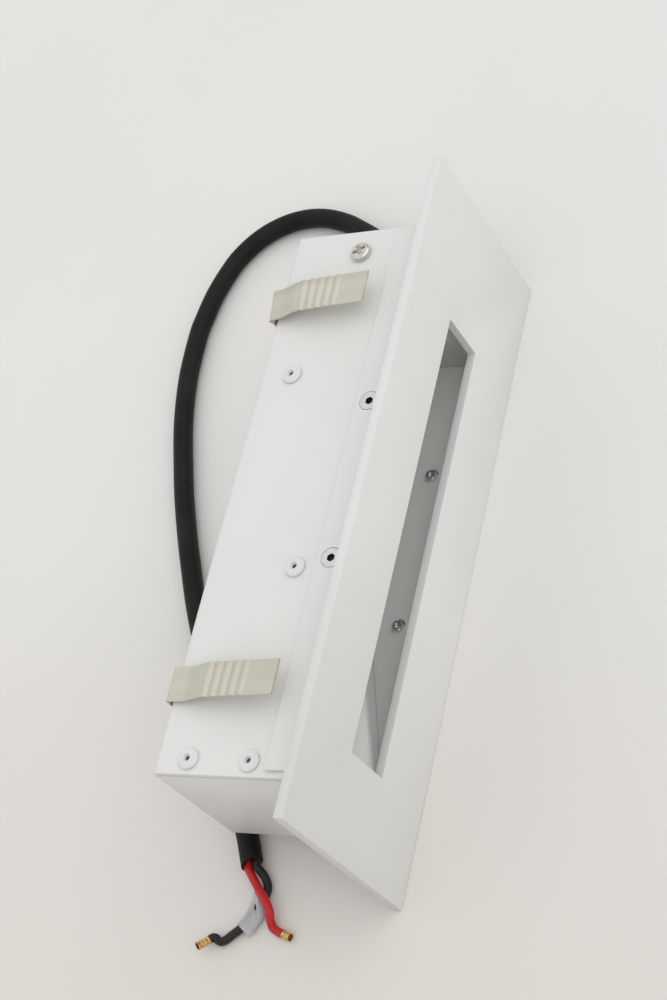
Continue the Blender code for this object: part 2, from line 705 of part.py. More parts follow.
def make_rivet(name, point, direction, stack):
    """Set blind rivet: domed head, shank through the stack, bulb behind it."""
    head = RIVET_HEAD_HEIGHT + CLEAR
    profile = [
        (0, RIVET_EYE_DEPTH - head),
        (RIVET_EYE_RADIUS, RIVET_EYE_DEPTH - head),
        (RIVET_EYE_RADIUS, -head),
        (RIVET_RADIUS, -head),
        (RIVET_HEAD_RADIUS, -CLEAR - RIVET_HEAD_EDGE),
        (RIVET_HEAD_RADIUS, -CLEAR),
        (RIVET_RADIUS, -CLEAR),
        (RIVET_RADIUS, stack + CLEAR),
        (RIVET_BULB_RADIUS, stack + CLEAR),
        (RIVET_BULB_RADIUS, stack + CLEAR + RIVET_BULB_LENGTH / 2),
        (RIVET_RADIUS, stack + CLEAR + RIVET_BULB_LENGTH),
        (0, stack + CLEAR + RIVET_BULB_LENGTH),
    ]
    turned(name, profile, point, direction, "rivet_paint", sides=RIVET_SIDES)


def make_rivets():
    cap_stack = SHELL_SHEET + CLEAR + CAP_SHEET
    for name, point, direction in end_rivet_places():
        make_rivet("end_rivet_" + name, point, direction, cap_stack)
    carrier_stack = SHELL_SHEET + CLEAR + CARRIER_THICKNESS
    for name, point, direction in carrier_rivet_places():
        make_rivet("carrier_rivet_" + name, point, direction, carrier_stack)
    strap_stack = SPRING_SHEET + CLEAR + SHELL_SHEET
    for name, point, direction in strap_rivet_places():
        make_rivet("strap_rivet_" + name, point, direction, strap_stack)


def make_pan_screw(name, point, direction, shank, head, rim, radius, length):
    """Pan-head screw with a cross recess, head outside the point."""
    profile = [
        (0, -CLEAR - head),
        (radius * PAN_FLAT_SHARE, -CLEAR - head),
        (radius * PAN_ROUND_SHARE, -CLEAR - rim - (head - rim) / 2),
        (radius, -CLEAR - rim),
        (radius, -CLEAR),
        (shank, -CLEAR),
        (shank, length),
        (0, length),
    ]
    screw = turned(name, profile, point, direction, "nickel")
    matrix = axis_matrix(point, direction)
    span = CROSS_SPAN * radius / PAN_HEAD_RADIUS
    width = CROSS_WIDTH * radius / PAN_HEAD_RADIUS
    depth = CROSS_DEPTH * radius / PAN_HEAD_RADIUS
    floor = -CLEAR - head + depth
    top = -CLEAR - head - OVERRUN
    for tag, size in (("a", (span, width)), ("b", (width, span))):
        shape = bmesh.new()
        add_block(shape, (-size[0] / 2, -size[1] / 2, top), (size[0] / 2, size[1] / 2, floor))
        bmesh.ops.transform(shape, matrix=matrix, verts=shape.verts)
        combine(screw, mesh_piece(name + "_cross_" + tag, shape, None), "DIFFERENCE")


def make_cap_screws():
    stack = SHELL_SHEET + CLEAR + CAP_SHEET
    length = stack + CLEAR + CAP_NUT_HEIGHT + PAN_SCREW_TAIL
    for level, point, direction in cap_screw_places():
        make_pan_screw(
            "cap_screw_" + level, point, direction,
            PAN_SCREW_RADIUS, PAN_HEAD_HEIGHT, PAN_HEAD_RIM, PAN_HEAD_RADIUS, length,
        )
        bore = PAN_SCREW_RADIUS + CLEAR
        low = stack + CLEAR
        high = low + CAP_NUT_HEIGHT
        profile = [(bore, low), (CAP_NUT_RADIUS, low), (CAP_NUT_RADIUS, high), (bore, high)]
        turned("cap_nut_" + level, profile, point, direction, "zinc", ring=True)


# Light chamber: tray, carrier, board and cover


def tray_outline(inset, front, top):
    """Section in Y and Z with a rounded lower back corner."""
    bend = TRAY_BEND - inset
    centre = (TRAY_BACK - TRAY_BEND, -LINER + TRAY_BEND)
    outline = [(front, -LINER + inset)]
    outline += arc(centre, bend, -90, 0, 6)
    outline += [(TRAY_BACK - inset, top), (front, top)]
    return outline


def make_reflector_tray():
    outline = tray_outline(0, LINER_FRONT, TRAY_TOP)
    tray = prism("reflector_tray", outline, "X", TRAY_NEAR, TRAY_FAR, "white_enamel")
    hollow = prism(
        "reflector_tray_hollow",
        tray_outline(TRAY_SHEET, LINER_FRONT - OVERRUN, TRAY_TOP + OVERRUN),
        "X", TRAY_NEAR + TRAY_SHEET, TRAY_FAR - TRAY_SHEET, None,
    )
    combine(tray, hollow, "DIFFERENCE")
    countersink(tray, -1)
    start = (TRAY_FAR - TRAY_SHEET - OVERRUN, *GROMMET_PLACE)
    drill(tray, [(start, (1, 0, 0), GROMMET_NECK + CLEAR, TRAY_SHEET + 2 * OVERRUN)])


def cover_screw_holes(radius):
    holes = []
    for x in (COVER_SCREW_NEAR, COVER_SCREW_FAR):
        start = (x, BOARD_MIDDLE, COVER_TOP - COVER_HEIGHT - OVERRUN)
        holes.append((start, (0, 0, 1), radius + CLEAR, SHELL_INSIDE - start[2]))
    return holes


def make_carrier():
    carrier = block(
        "led_carrier",
        (TRAY_NEAR, LINER_FRONT, CARRIER_BOTTOM),
        (TRAY_FAR, TRAY_BACK, LINER),
        "aluminium",
    )
    drill(carrier, holes_at(carrier_rivet_places(), RIVET_RADIUS) + cover_screw_holes(COVER_SCREW_RADIUS))
    countersink(carrier, 1)


def make_led_board():
    pad = block(
        "thermal_pad",
        (BOARD_NEAR, BOARD_FRONT, PAD_TOP - PAD_THICKNESS),
        (BOARD_FAR, BOARD_FRONT + BOARD_WIDTH, PAD_TOP),
        "pad_grey",
    )
    drill(pad, cover_screw_holes(COVER_SCREW_RADIUS))
    board = block(
        "led_board",
        (BOARD_NEAR, BOARD_FRONT, BOARD_BOTTOM),
        (BOARD_FAR, BOARD_FRONT + BOARD_WIDTH, BOARD_TOP),
        "board_white",
    )
    shape = bmesh.new()
    first = COVER_NEAR + COVER_TAB + LED_LENGTH * 2
    last = COVER_FAR - COVER_TAB - LED_LENGTH * 2
    for k in range(LED_COUNT):
        x = first + (last - first) * k / (LED_COUNT - 1)
        add_block(
            shape,
            (x - LED_LENGTH / 2, BOARD_MIDDLE - LED_WIDTH / 2, BOARD_BOTTOM - LED_HEIGHT),
            (x + LED_LENGTH / 2, BOARD_MIDDLE + LED_WIDTH / 2, BOARD_BOTTOM + LED_SINK),
        )
    combine(board, mesh_piece("led_board_leds", shape, None), "UNION")
    drill(board, cover_screw_holes(COVER_SCREW_RADIUS))


def make_led_cover():
    """Clear strip: a shallow box open towards the board, with a tab at each end."""
    front = BOARD_FRONT + COVER_SIDE_INSET
    back = BOARD_FRONT + BOARD_WIDTH - COVER_SIDE_INSET
    tab = COVER_TOP - COVER_WALL - CLEAR
    low = COVER_TOP - COVER_HEIGHT
    outline = [
        (COVER_NEAR, COVER_TOP), (COVER_NEAR, tab), (COVER_NEAR + COVER_TAB, tab),
        (COVER_NEAR + COVER_TAB, low), (COVER_FAR - COVER_TAB, low),
        (COVER_FAR - COVER_TAB, tab), (COVER_FAR, tab), (COVER_FAR, COVER_TOP),
    ]
    cover = prism("led_cover", outline, "Y", front, back, "clear_plastic")
    hollow = block(
        "led_cover_hollow",
        (COVER_NEAR + COVER_TAB + COVER_WALL, front + COVER_WALL, low + COVER_WALL),
        (COVER_FAR - COVER_TAB - COVER_WALL, back - COVER_WALL, COVER_TOP + OVERRUN),
        None,
    )
    combine(cover, hollow, "DIFFERENCE")
    drill(cover, cover_screw_holes(COVER_SCREW_RADIUS))
    length = LINER - tab
    for end, x in (("near", COVER_SCREW_NEAR), ("far", COVER_SCREW_FAR)):
        make_pan_screw(
            "cover_screw_" + end, (x, BOARD_MIDDLE, tab), (0, 0, 1),
            COVER_SCREW_RADIUS, COVER_SCREW_HEAD_HEIGHT, COVER_SCREW_HEAD_RIM,
            COVER_SCREW_HEAD_RADIUS, length,
        )


# Spring clips


def leaf_line(short):
    """Middle line of a leaf in its own Y and Z, root at the pivot; short is cut off its free end."""
    rise = LEAF_KINK_RISE - LEAF_ROOT_RISE - LEAF_BEND
    slope = math.degrees(math.atan2(rise, LEAF_KINK_RUN - LEAF_BEND))
    line = [(0.0, 0.0)]
    line += arc((-LEAF_BEND, LEAF_ROOT_RISE), LEAF_BEND, 0, 90 - slope, 3)
    start = (-LEAF_KINK_RUN, LEAF_KINK_RISE)
    left = 1 - short / (LEAF_END_RUN - LEAF_KINK_RUN)
    rise_beyond = LEAF_END_RISE - LEAF_KINK_RISE
    stop = (short - LEAF_END_RUN, LEAF_KINK_RISE + rise_beyond * left)
    line.append(start)
    steps = LEAF_RIDGES * 2
    for k in range(1, steps + 1):
        share = LEAF_RIDGE_FIRST_SHARE + (LEAF_RIDGE_LAST_SHARE - LEAF_RIDGE_FIRST_SHARE) * k / steps
        lift = LEAF_RIDGE_HEIGHT if k % 2 else 0.0
        y = start[0] + (stop[0] - start[0]) * share
        z = start[1] + (stop[1] - start[1]) * share + lift
        line.append((y, z))
    line.append(stop)
    return line


def ribbon_outline(line, thickness):
    """Closed outline of a strip that follows a middle line."""
    points = [Vector((*p, 0.0)) for p in line]
    upper = []
    lower = []
    for k, point in enumerate(points):
        before = points[max(k - 1, 0)]
        after = points[min(k + 1, len(points) - 1)]
        along = (after - before).normalized()
        side = Vector((-along.y, along.x, 0.0)) * thickness / 2
        upper.append((point.x + side.x, point.y + side.y))
        lower.append((point.x - side.x, point.y - side.y))
    return upper + lower[::-1]


def make_leaf(name, x, side, short):
    """One moving leaf, with its origin on the bend line it flexes about."""
    outline = [(y, side * z) for y, z in ribbon_outline(leaf_line(short), SPRING_SHEET)]
    leaf = prism(name, outline, "X", -CLIP_WIDTH / 2, CLIP_WIDTH / 2, "spring_steel")
    leaf.location = (x, LEAF_PIVOT_Y, side * LEAF_PIVOT_Z)


def make_clips():
    half = LEAF_PIVOT_Z - STRAP_END_GAP - SPRING_SHEET / 2
    front = HOUSING_DEPTH + CLEAR
    for end, x in (("near", -CLIP_PLACE), ("far", CLIP_PLACE)):
        strap = block(
            "clip_strap_" + end,
            (x - CLIP_WIDTH / 2, front, -half),
            (x + CLIP_WIDTH / 2, front + SPRING_SHEET, half),
            "spring_steel",
        )
        mine = [p for p in strap_rivet_places() if p[0].startswith(end)]
        drill(strap, holes_at(mine, RIVET_RADIUS))
        short = FAR_LEAF_SHORT if end == "far" else 0.0
        make_leaf("clip_leaf_top_" + end, x, 1, short)
        make_leaf("clip_leaf_bottom_" + end, x, -1, short)


# Cable entry


def make_strain_relief():
    """Rubber bush snapped into the far cap, with a ringed tapered nose."""
    bore = CABLE_RADIUS + CLEAR
    wall = CAP_FACE - CAP_SHEET - CLEAR
    outer = CAP_FACE + CLEAR
    nose = outer + RELIEF_OUTER_LENGTH
    lip = wall - RELIEF_INNER_LENGTH
    profile = [
        (bore, lip - RELIEF_TAIL_LENGTH),
        (RELIEF_NECK_RADIUS, lip - RELIEF_TAIL_LENGTH),
        (RELIEF_NECK_RADIUS, lip),
        (RELIEF_INNER_RADIUS, lip),
        (RELIEF_INNER_RADIUS, wall),
        (RELIEF_NECK_RADIUS, wall),
        (RELIEF_NECK_RADIUS, outer),
        (RELIEF_OUTER_RADIUS, outer),
        (RELIEF_OUTER_RADIUS, nose),
    ]
    pitch = RELIEF_NOSE_LENGTH / (RELIEF_GROOVES + 1)
    taper = (RELIEF_NOSE_BASE_RADIUS - RELIEF_NOSE_TIP_RADIUS) / RELIEF_NOSE_LENGTH
    profile.append((RELIEF_NOSE_BASE_RADIUS, nose))
    for k in range(1, RELIEF_GROOVES + 1):
        start = pitch * k
        stop = start + pitch * RELIEF_GROOVE_SHARE
        radius = RELIEF_NOSE_BASE_RADIUS - taper * start
        floor = radius - RELIEF_GROOVE_DEPTH
        after = RELIEF_NOSE_BASE_RADIUS - taper * stop
        profile += [(radius, nose + start), (floor, nose + start)]
        profile += [(floor, nose + stop), (after, nose + stop)]
    profile += [(RELIEF_NOSE_TIP_RADIUS, RELIEF_TIP), (bore, RELIEF_TIP)]
    turned("strain_relief", profile, (0, *RELIEF_PLACE), (1, 0, 0), "black_rubber", sides=20, ring=True)


def make_inner_cable():
    profile = [(0, INNER_CABLE_END), (CABLE_RADIUS, INNER_CABLE_END)]
    profile += [(CABLE_RADIUS, RELIEF_TIP), (0, RELIEF_TIP)]
    turned("inner_cable", profile, (0, *RELIEF_PLACE), (1, 0, 0), "black_rubber")
    bore = CABLE_RADIUS + CLEAR
    outside = bore + TIE_THICKNESS
    start = INNER_CABLE_END + TIE_PLACE - TIE_WIDTH / 2
    ring = [(bore, start), (outside, start), (outside, start + TIE_WIDTH), (bore, start + TIE_WIDTH)]
    tie = turned("cable_tie", ring, (0, *RELIEF_PLACE), (1, 0, 0), "tie_plastic", ring=True)
    y, z = RELIEF_PLACE
    head = block(
        "cable_tie_head",
        (start - TIE_THICKNESS / 4, y - TIE_HEAD / 2, z + bore + TIE_THICKNESS / 4),
        (start + TIE_WIDTH + TIE_THICKNESS / 4, y + TIE_HEAD / 2, z + bore + TIE_HEAD),
        None,
    )
    combine(tie, head, "UNION")


# Terminal block and inner wires


def block_middle():
    return (BLOCK_NEAR + BLOCK_LENGTH / 2, BLOCK_FRONT + BLOCK_WIDTH / 2)


def block_screw_hole():
    x, y = block_middle()
    start = (x, y, -HALF_HEIGHT - OVERRUN)
    return (start, (0, 0, 1), BLOCK_SCREW_RADIUS + CLEAR, SHELL_SHEET + 2 * OVERRUN)


def make_terminal_block():
    x, y = block_middle()
    outline = [
        (BLOCK_NEAR, -LINER),
        (BLOCK_NEAR + BLOCK_LENGTH, -LINER),
        (BLOCK_NEAR + BLOCK_LENGTH, BLOCK_TOP - BLOCK_STEP),
        (BLOCK_NEAR + BLOCK_LENGTH - BLOCK_STEP / 2, BLOCK_TOP),
        (BLOCK_NEAR, BLOCK_TOP),
    ]
    body = prism("terminal_block", outline, "Y", BLOCK_FRONT, BLOCK_FRONT + BLOCK_WIDTH, "grey_plastic")
    seat = -LINER + BLOCK_SCREW_LENGTH - SHELL_SHEET
    drill(body, [((x, y, -HALF_HEIGHT), (0, 0, 1), BLOCK_SCREW_RADIUS + CLEAR, HALF_HEIGHT)])
    well = turned(
        "terminal_block_well",
        [(0, 0), (BLOCK_SCREW_WELL, 0), (BLOCK_SCREW_WELL, HALF_HEIGHT), (0, HALF_HEIGHT)],
        (x, y, seat), (0, 0, 1), None,
    )
    combine(body, well, "DIFFERENCE")
    make_pan_screw(
        "block_screw", (x, y, seat), (0, 0, -1),
        BLOCK_SCREW_RADIUS, BLOCK_SCREW_HEAD_HEIGHT, BLOCK_SCREW_HEAD_RIM,
        BLOCK_SCREW_HEAD_RADIUS, BLOCK_SCREW_LENGTH - CLEAR,
    )


def make_grommet():
    near = TRAY_FAR - TRAY_SHEET - CLEAR
    far = TRAY_FAR + CLEAR
    profile = [
        (GROMMET_BORE, near - GROMMET_FLANGE_LENGTH),
        (GROMMET_FLANGE, near - GROMMET_FLANGE_LENGTH),
        (GROMMET_FLANGE, near),
        (GROMMET_NECK, near),
        (GROMMET_NECK, far),
        (GROMMET_FLANGE, far),
        (GROMMET_FLANGE, far + GROMMET_FLANGE_LENGTH),
        (GROMMET_BORE, far + GROMMET_FLANGE_LENGTH),
    ]
    turned("tray_grommet", profile, (0, *GROMMET_PLACE), (1, 0, 0), "black_rubber", ring=True)


def bridge(start, heading, stop, arriving, pull):
    """Points of a smooth bend between two places, straight at both ends."""
    first, last = Vector(start), Vector(stop)
    start = first + Vector(heading) * WIRE_RUN_OUT
    stop = last - Vector(arriving) * WIRE_RUN_OUT
    leave = Vector(heading) * pull
    arrive = Vector(arriving) * pull
    points = [first]
    steps = 8
    for k in range(steps + 1):
        t = k / steps
        ease = 3 * t ** 2 - 2 * t ** 3
        points.append(
            start * (1 - ease) + stop * ease
            + leave * (t ** 3 - 2 * t ** 2 + t) + arrive * (t ** 3 - t ** 2)
        )
    return points + [last]


def make_inner_wires():
    """Feed wires from the cable to the block, board wires from the block to the board."""
    middle, _ = block_middle()
    level = -LINER + BLOCK_POLE_RISE
    cable_y, cable_z = RELIEF_PLACE
    grommet_y, grommet_z = GROMMET_PLACE
    for colour, side in (("red", 1), ("black", -1)):
        pole = middle - side * BLOCK_POLE_SPREAD
        feed_start = (INNER_CABLE_END - CLEAR, cable_y + side * INNER_WIRE_SPREAD, cable_z)
        feed_stop = (pole, BLOCK_FRONT + BLOCK_WIDTH + CLEAR, level)
        feed = bridge(feed_start, (-1, 0, 0), feed_stop, (0, -1, 0), FEED_WIRE_PULL)
        tube("feed_wire_" + colour, feed, INNER_WIRE_RADIUS, colour + "_sleeve")
        y = grommet_y - side * INNER_WIRE_SPREAD
        leave = (pole, BLOCK_FRONT + BLOCK_TOP_INSET, BLOCK_TOP + CLEAR)
        enter = (TRAY_FAR, y, grommet_z)
        inside = (TRAY_FAR - TRAY_SHEET, y, grommet_z)
        tail = (BOARD_FAR - BOARD_WIRE_INSET, y, BOARD_BOTTOM - CLEAR)
        route = bridge(leave, (0, 0, 1), enter, (-1, 0, 0), BOARD_WIRE_PULL)
        route += bridge(inside, (-1, 0, 0), tail, (0, 0, 1), TAIL_WIRE_PULL)
        tube("board_wire_" + colour, route, INNER_WIRE_RADIUS, colour + "_sleeve")


# Loose cable and its cut end


def cable_points():
    """The loose cable's route, which falls from the strain relief to the bench."""
    back, level = RELIEF_PLACE
    drop = level - CABLE_LEVEL
    return [(RELIEF_TIP + x, back + y, CABLE_LEVEL + drop * share) for x, y, share in CABLE_ROUTE]


def wire_points(route):
    return [(RELIEF_TIP + x, RELIEF_BACK + y, CABLE_LEVEL + z) for x, y, z in route]


def make_ferrule(name, route):
    """Crimped brass sleeve at the end of a wire."""
    tip = Vector(route[-1])
    along = (tip - Vector(route[-2])).normalized()
    waist = FERRULE_RADIUS * FERRULE_WAIST_SHARE
    profile = [
        (0, CLEAR),
        (FERRULE_RADIUS, CLEAR),
        (FERRULE_RADIUS, FERRULE_BAND),
        (waist, FERRULE_BAND + CLEAR),
        (waist, FERRULE_BAND * 2),
        (FERRULE_RADIUS, FERRULE_BAND * 2 + CLEAR),
        (FERRULE_RADIUS, FERRULE_LENGTH - FERRULE_BAND),
        (waist, FERRULE_LENGTH),
        (FERRULE_BORE, FERRULE_LENGTH),
        (0, FERRULE_LENGTH - FERRULE_BAND),
    ]
    turned(name, profile, tip, along, "brass")


def make_marker():
    """Flat clear sleeve that follows the black wire, cut from a soft tube."""
    points, _ = smooth_points(wire_points(BLACK_ROUTE), TUBE_STEP_DIAMETERS * 2 * WIRE_RADIUS)
    chosen = points[MARKER_FIRST:MARKER_LAST + 1]
    bore = WIRE_RADIUS + MARKER_SLACK
    sides = 16
    outer = []
    inner = []
    shape = bmesh.new()
    for k, point in enumerate(chosen):
        before = points[MARKER_FIRST + k - 1]
        after = points[MARKER_FIRST + k + 1]
        along = (after - before).normalized()
        across = along.cross(Vector((0, 0, 1))).normalized()
        up = across.cross(along)
        for rings, half_wide, half_high in (
            (outer, MARKER_WIDTH / 2, MARKER_HEIGHT / 2), (inner, bore, bore),
        ):
            ring = []
            for m in range(sides):
                turn = 2 * math.pi * m / sides
                offset = across * half_wide * math.cos(turn) + up * half_high * math.sin(turn)
                ring.append(shape.verts.new(point + offset))
            rings.append(ring)
    pairs = [(outer[0], inner[0]), (outer[-1], inner[-1])]
    pairs += list(zip(outer, outer[1:])) + list(zip(inner, inner[1:]))
    for below, above in pairs:
        for m in range(sides):
            n = (m + 1) % sides
            shape.faces.new((below[m], below[n], above[n], above[m]))
    mesh_piece("marker_sleeve", shape, "marker_plastic", smooth=True)


def make_loose_cable():
    tube("supply_cable", cable_points(), CABLE_RADIUS, "black_rubber", resolution=3)
    tube("wire_red", wire_points(RED_ROUTE), WIRE_RADIUS, "red_sleeve")
    tube("wire_black", wire_points(BLACK_ROUTE), WIRE_RADIUS, "black_sleeve")
    make_ferrule("ferrule_red", wire_points(RED_ROUTE))
    make_ferrule("ferrule_black", wire_points(BLACK_ROUTE))
    make_marker()


def main():
    clear_scene()
    make_face_plate()
    make_flange("flange_top", 1)
    make_flange("flange_bottom", -1)
    make_flange_screws()
    make_housing_shell()
    make_end_caps()
    make_rivets()
    make_cap_screws()
    make_reflector_tray()
    make_carrier()
    make_led_board()
    make_led_cover()
    make_clips()
    make_strain_relief()
    make_inner_cable()
    make_terminal_block()
    make_grommet()
    make_inner_wires()
    make_loose_cable()


main()
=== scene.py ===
# %% [markdown]
# # A recessed stair light, from steel sheet to light
#
# The object is a small wall light: a white plate with a long slot, a folded housing behind it,
# two pairs of spring clips that hold it in the wall, and a black cable that ends in two bare wires.
# The frame below is an exact model of every piece, at its real size in metres.
# This lesson gives each piece the finish and the fine shape that it has on a bench.

# %% Load the frame
import math

import bmesh
import bpy
from mathutils import Matrix, Vector


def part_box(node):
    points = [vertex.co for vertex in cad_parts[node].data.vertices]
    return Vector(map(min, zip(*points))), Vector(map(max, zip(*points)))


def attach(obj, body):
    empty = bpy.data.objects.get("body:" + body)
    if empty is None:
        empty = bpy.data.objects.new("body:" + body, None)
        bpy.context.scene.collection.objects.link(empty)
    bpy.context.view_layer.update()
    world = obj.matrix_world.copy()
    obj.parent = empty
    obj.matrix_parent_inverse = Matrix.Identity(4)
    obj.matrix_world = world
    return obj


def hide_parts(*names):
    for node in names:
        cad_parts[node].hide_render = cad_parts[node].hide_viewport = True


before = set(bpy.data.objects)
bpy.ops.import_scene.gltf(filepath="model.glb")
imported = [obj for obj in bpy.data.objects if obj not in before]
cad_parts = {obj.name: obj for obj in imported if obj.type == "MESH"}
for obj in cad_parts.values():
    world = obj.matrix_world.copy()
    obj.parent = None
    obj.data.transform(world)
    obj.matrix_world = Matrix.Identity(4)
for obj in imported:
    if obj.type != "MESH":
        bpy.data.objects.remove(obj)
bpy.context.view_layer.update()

scene = bpy.context.scene

# %% [markdown]
# ## The camera
#
# A camera could be placed by eye until the picture looks right. Here its place and direction were
# worked out from the straight edges of the plate and the housing, so they are given as numbers:
# where it stands, which way it looks, and which way is up in the picture.

# %% Place the camera
CAMERA_PLACE = Vector((-0.26768, -0.28400, 0.47489))
CAMERA_LOOKS = Vector((0.43596, 0.49796, -0.74965))
CAMERA_UP = Vector((0.87358, -0.03395, 0.48549))

camera_data = bpy.data.cameras.new("camera")
camera_data.lens = 69.722
camera_data.sensor_width = 36.0
camera_data.clip_start = 0.01
camera = bpy.data.objects.new("camera", camera_data)
scene.collection.objects.link(camera)
camera_right = CAMERA_LOOKS.cross(CAMERA_UP).normalized()
camera_up = camera_right.cross(CAMERA_LOOKS).normalized()
turn = Matrix((camera_right, camera_up, -CAMERA_LOOKS.normalized())).transposed()
camera.matrix_world = Matrix.Translation(CAMERA_PLACE) @ turn.to_4x4()
scene.camera = camera
scene.view_settings.view_transform = "Standard"
print("camera at", [round(v, 3) for v in CAMERA_PLACE])

# %% [markdown]
# ## Finishes made of nodes
#
# A finish is more than a colour. Paint has a fine pebbled skin, plastic has faint mould marks, and
# metal has lines from the rolls that pressed it. Pictures could give all this, but noise nodes do
# it at any distance and need no files. One recipe serves most finishes: two close colours in soft
# patches, a roughness that wanders a little, and a fine bump. Every pattern reads Object
# coordinates, which are metres here, so one unit of noise scale is one wave in a metre.

# %% A recipe for a finish
def stretched_noise(nodes, links, stretch, scale):
    """Noise on Object coordinates, stretched by a Mapping node."""
    coordinates = nodes.new("ShaderNodeTexCoord")
    mapping = nodes.new("ShaderNodeMapping")
    mapping.inputs["Scale"].default_value = stretch
    links.new(coordinates.outputs["Object"], mapping.inputs["Vector"])
    noise = nodes.new("ShaderNodeTexNoise")
    noise.inputs["Scale"].default_value = scale
    noise.inputs["Detail"].default_value = 3.0
    links.new(mapping.outputs["Vector"], noise.inputs["Vector"])
    return noise.outputs["Fac"]


def ramp(nodes, links, source, first, second):
    """Turn a grey pattern into two colours, with a soft edge between them."""
    node = nodes.new("ShaderNodeValToRGB")
    node.color_ramp.elements[0].position = 0.35
    node.color_ramp.elements[0].color = (*first, 1.0)
    node.color_ramp.elements[1].position = 0.65
    node.color_ramp.elements[1].color = (*second, 1.0)
    links.new(source, node.inputs["Fac"])
    return node.outputs["Color"]


def spread(nodes, links, source, low, high):
    """Map a pattern of 0 to 1 onto a range of numbers."""
    node = nodes.new("ShaderNodeMapRange")
    node.inputs["From Min"].default_value = 0.3
    node.inputs["From Max"].default_value = 0.7
    node.inputs["To Min"].default_value = low
    node.inputs["To Max"].default_value = high
    links.new(source, node.inputs["Value"])
    return node.outputs["Result"]


def make_finish(name, colours, patch, roughness, grain, depth, stretch=(1, 1, 1), metallic=0.0, gloss=0.5):
    """A finish: its two colours and their patch scale, its roughness range, its grain and depth."""
    made = bpy.data.materials.new(name)
    made.use_nodes = True
    nodes, links = made.node_tree.nodes, made.node_tree.links
    shader = nodes["Principled BSDF"]
    shader.inputs["Metallic"].default_value = metallic
    shader.inputs["Specular IOR Level"].default_value = gloss
    patches = stretched_noise(nodes, links, stretch, patch)
    links.new(ramp(nodes, links, patches, *colours), shader.inputs["Base Color"])
    fine = stretched_noise(nodes, links, stretch, grain)
    links.new(spread(nodes, links, fine, *roughness), shader.inputs["Roughness"])
    bump = nodes.new("ShaderNodeBump")
    bump.inputs["Strength"].default_value = 0.5
    bump.inputs["Distance"].default_value = depth
    links.new(fine, bump.inputs["Height"])
    links.new(bump.outputs["Normal"], shader.inputs["Normal"])
    made.diffuse_color = (*colours[0], 1.0)
    return made


# %% [markdown]
# ## White powder coat
#
# The plate, the flanges, the housing and its end caps are steel sheet under baked white powder.
# The powder melts into a satin skin with a very fine orange peel. The tray behind the slot has a whiter,
# duller enamel, its curved end is shinier sheet, and the rivets were painted with the housing. In the
# photograph the light falls off towards the riveted end. The lamps below are even, so shade is painted into
# the plate's own paint there, a shade darker towards that end. Shade is painted on the tray's far wall too, a
# step darker, for the shade that lies on it. A map of the place along X gives both changes.

# %% White finishes
POWDER_LOOK = (((0.775, 0.78, 0.765), (0.80, 0.80, 0.785)), 18.0, (0.42, 0.52), 1500.0, 0.000012)
powder_coat = make_finish("powder_coat", *POWDER_LOOK)
plate_shaded_coat = make_finish("plate_shaded_coat", *POWDER_LOOK)
chamber_white = make_finish(
    "chamber_white", ((0.905, 0.91, 0.89), (0.93, 0.935, 0.915)), 22.0, (0.50, 0.62), 1200.0, 0.000015
)


def paint_shade_beyond(finish, start, stop, colour):
    """Paint shade into a finish's colour, more and more from one place along X to another."""
    nodes, links = finish.node_tree.nodes, finish.node_tree.links
    coordinates = nodes.new("ShaderNodeTexCoord")
    parts = nodes.new("ShaderNodeSeparateXYZ")
    links.new(coordinates.outputs["Object"], parts.inputs["Vector"])
    place = nodes.new("ShaderNodeMapRange")
    place.inputs["From Min"].default_value = start
    place.inputs["From Max"].default_value = stop
    links.new(parts.outputs["X"], place.inputs["Value"])
    tint = nodes.new("ShaderNodeMix")
    tint.data_type = "RGBA"
    tint.blend_type = "MULTIPLY"
    tint.inputs["B"].default_value = (*colour, 1.0)
    shader = nodes["Principled BSDF"]
    paint_colour = shader.inputs["Base Color"].links[0].from_socket
    links.new(place.outputs["Result"], tint.inputs["Factor"])
    links.new(paint_colour, tint.inputs["A"])
    links.new(tint.outputs["Result"], shader.inputs["Base Color"])


# Painted shade: the tray's far wall, past x 0.0723, is a step darker, for the shade that lies on it.
paint_shade_beyond(chamber_white, 0.0723, 0.0727, (0.74, 0.74, 0.71))
# Painted shade: the plate's paint darkens towards the riveted end, where the light falls off.
paint_shade_beyond(plate_shaded_coat, -0.02, -0.115, (0.88, 0.875, 0.86))
reflector_sheet = make_finish(
    "reflector_sheet", ((0.86, 0.86, 0.84), (0.90, 0.90, 0.88)), 22.0, (0.32, 0.42), 1200.0, 0.000010,
    metallic=0.55,
)
# The mandrel's stump is coloured near black, as painted shade in the rivet's hole.
mandrel_painted_shade = make_finish(
    "mandrel_painted_shade", ((0.060, 0.058, 0.055), (0.110, 0.106, 0.100)), 400.0, (0.50, 0.65), 1200.0, 0.000010,
    metallic=0.4,
)
rivet_white = make_finish(
    "rivet_white", ((0.76, 0.76, 0.745), (0.80, 0.80, 0.79)), 120.0, (0.36, 0.46), 1800.0, 0.000010
)
print("plate paint nodes", len(plate_shaded_coat.node_tree.nodes))
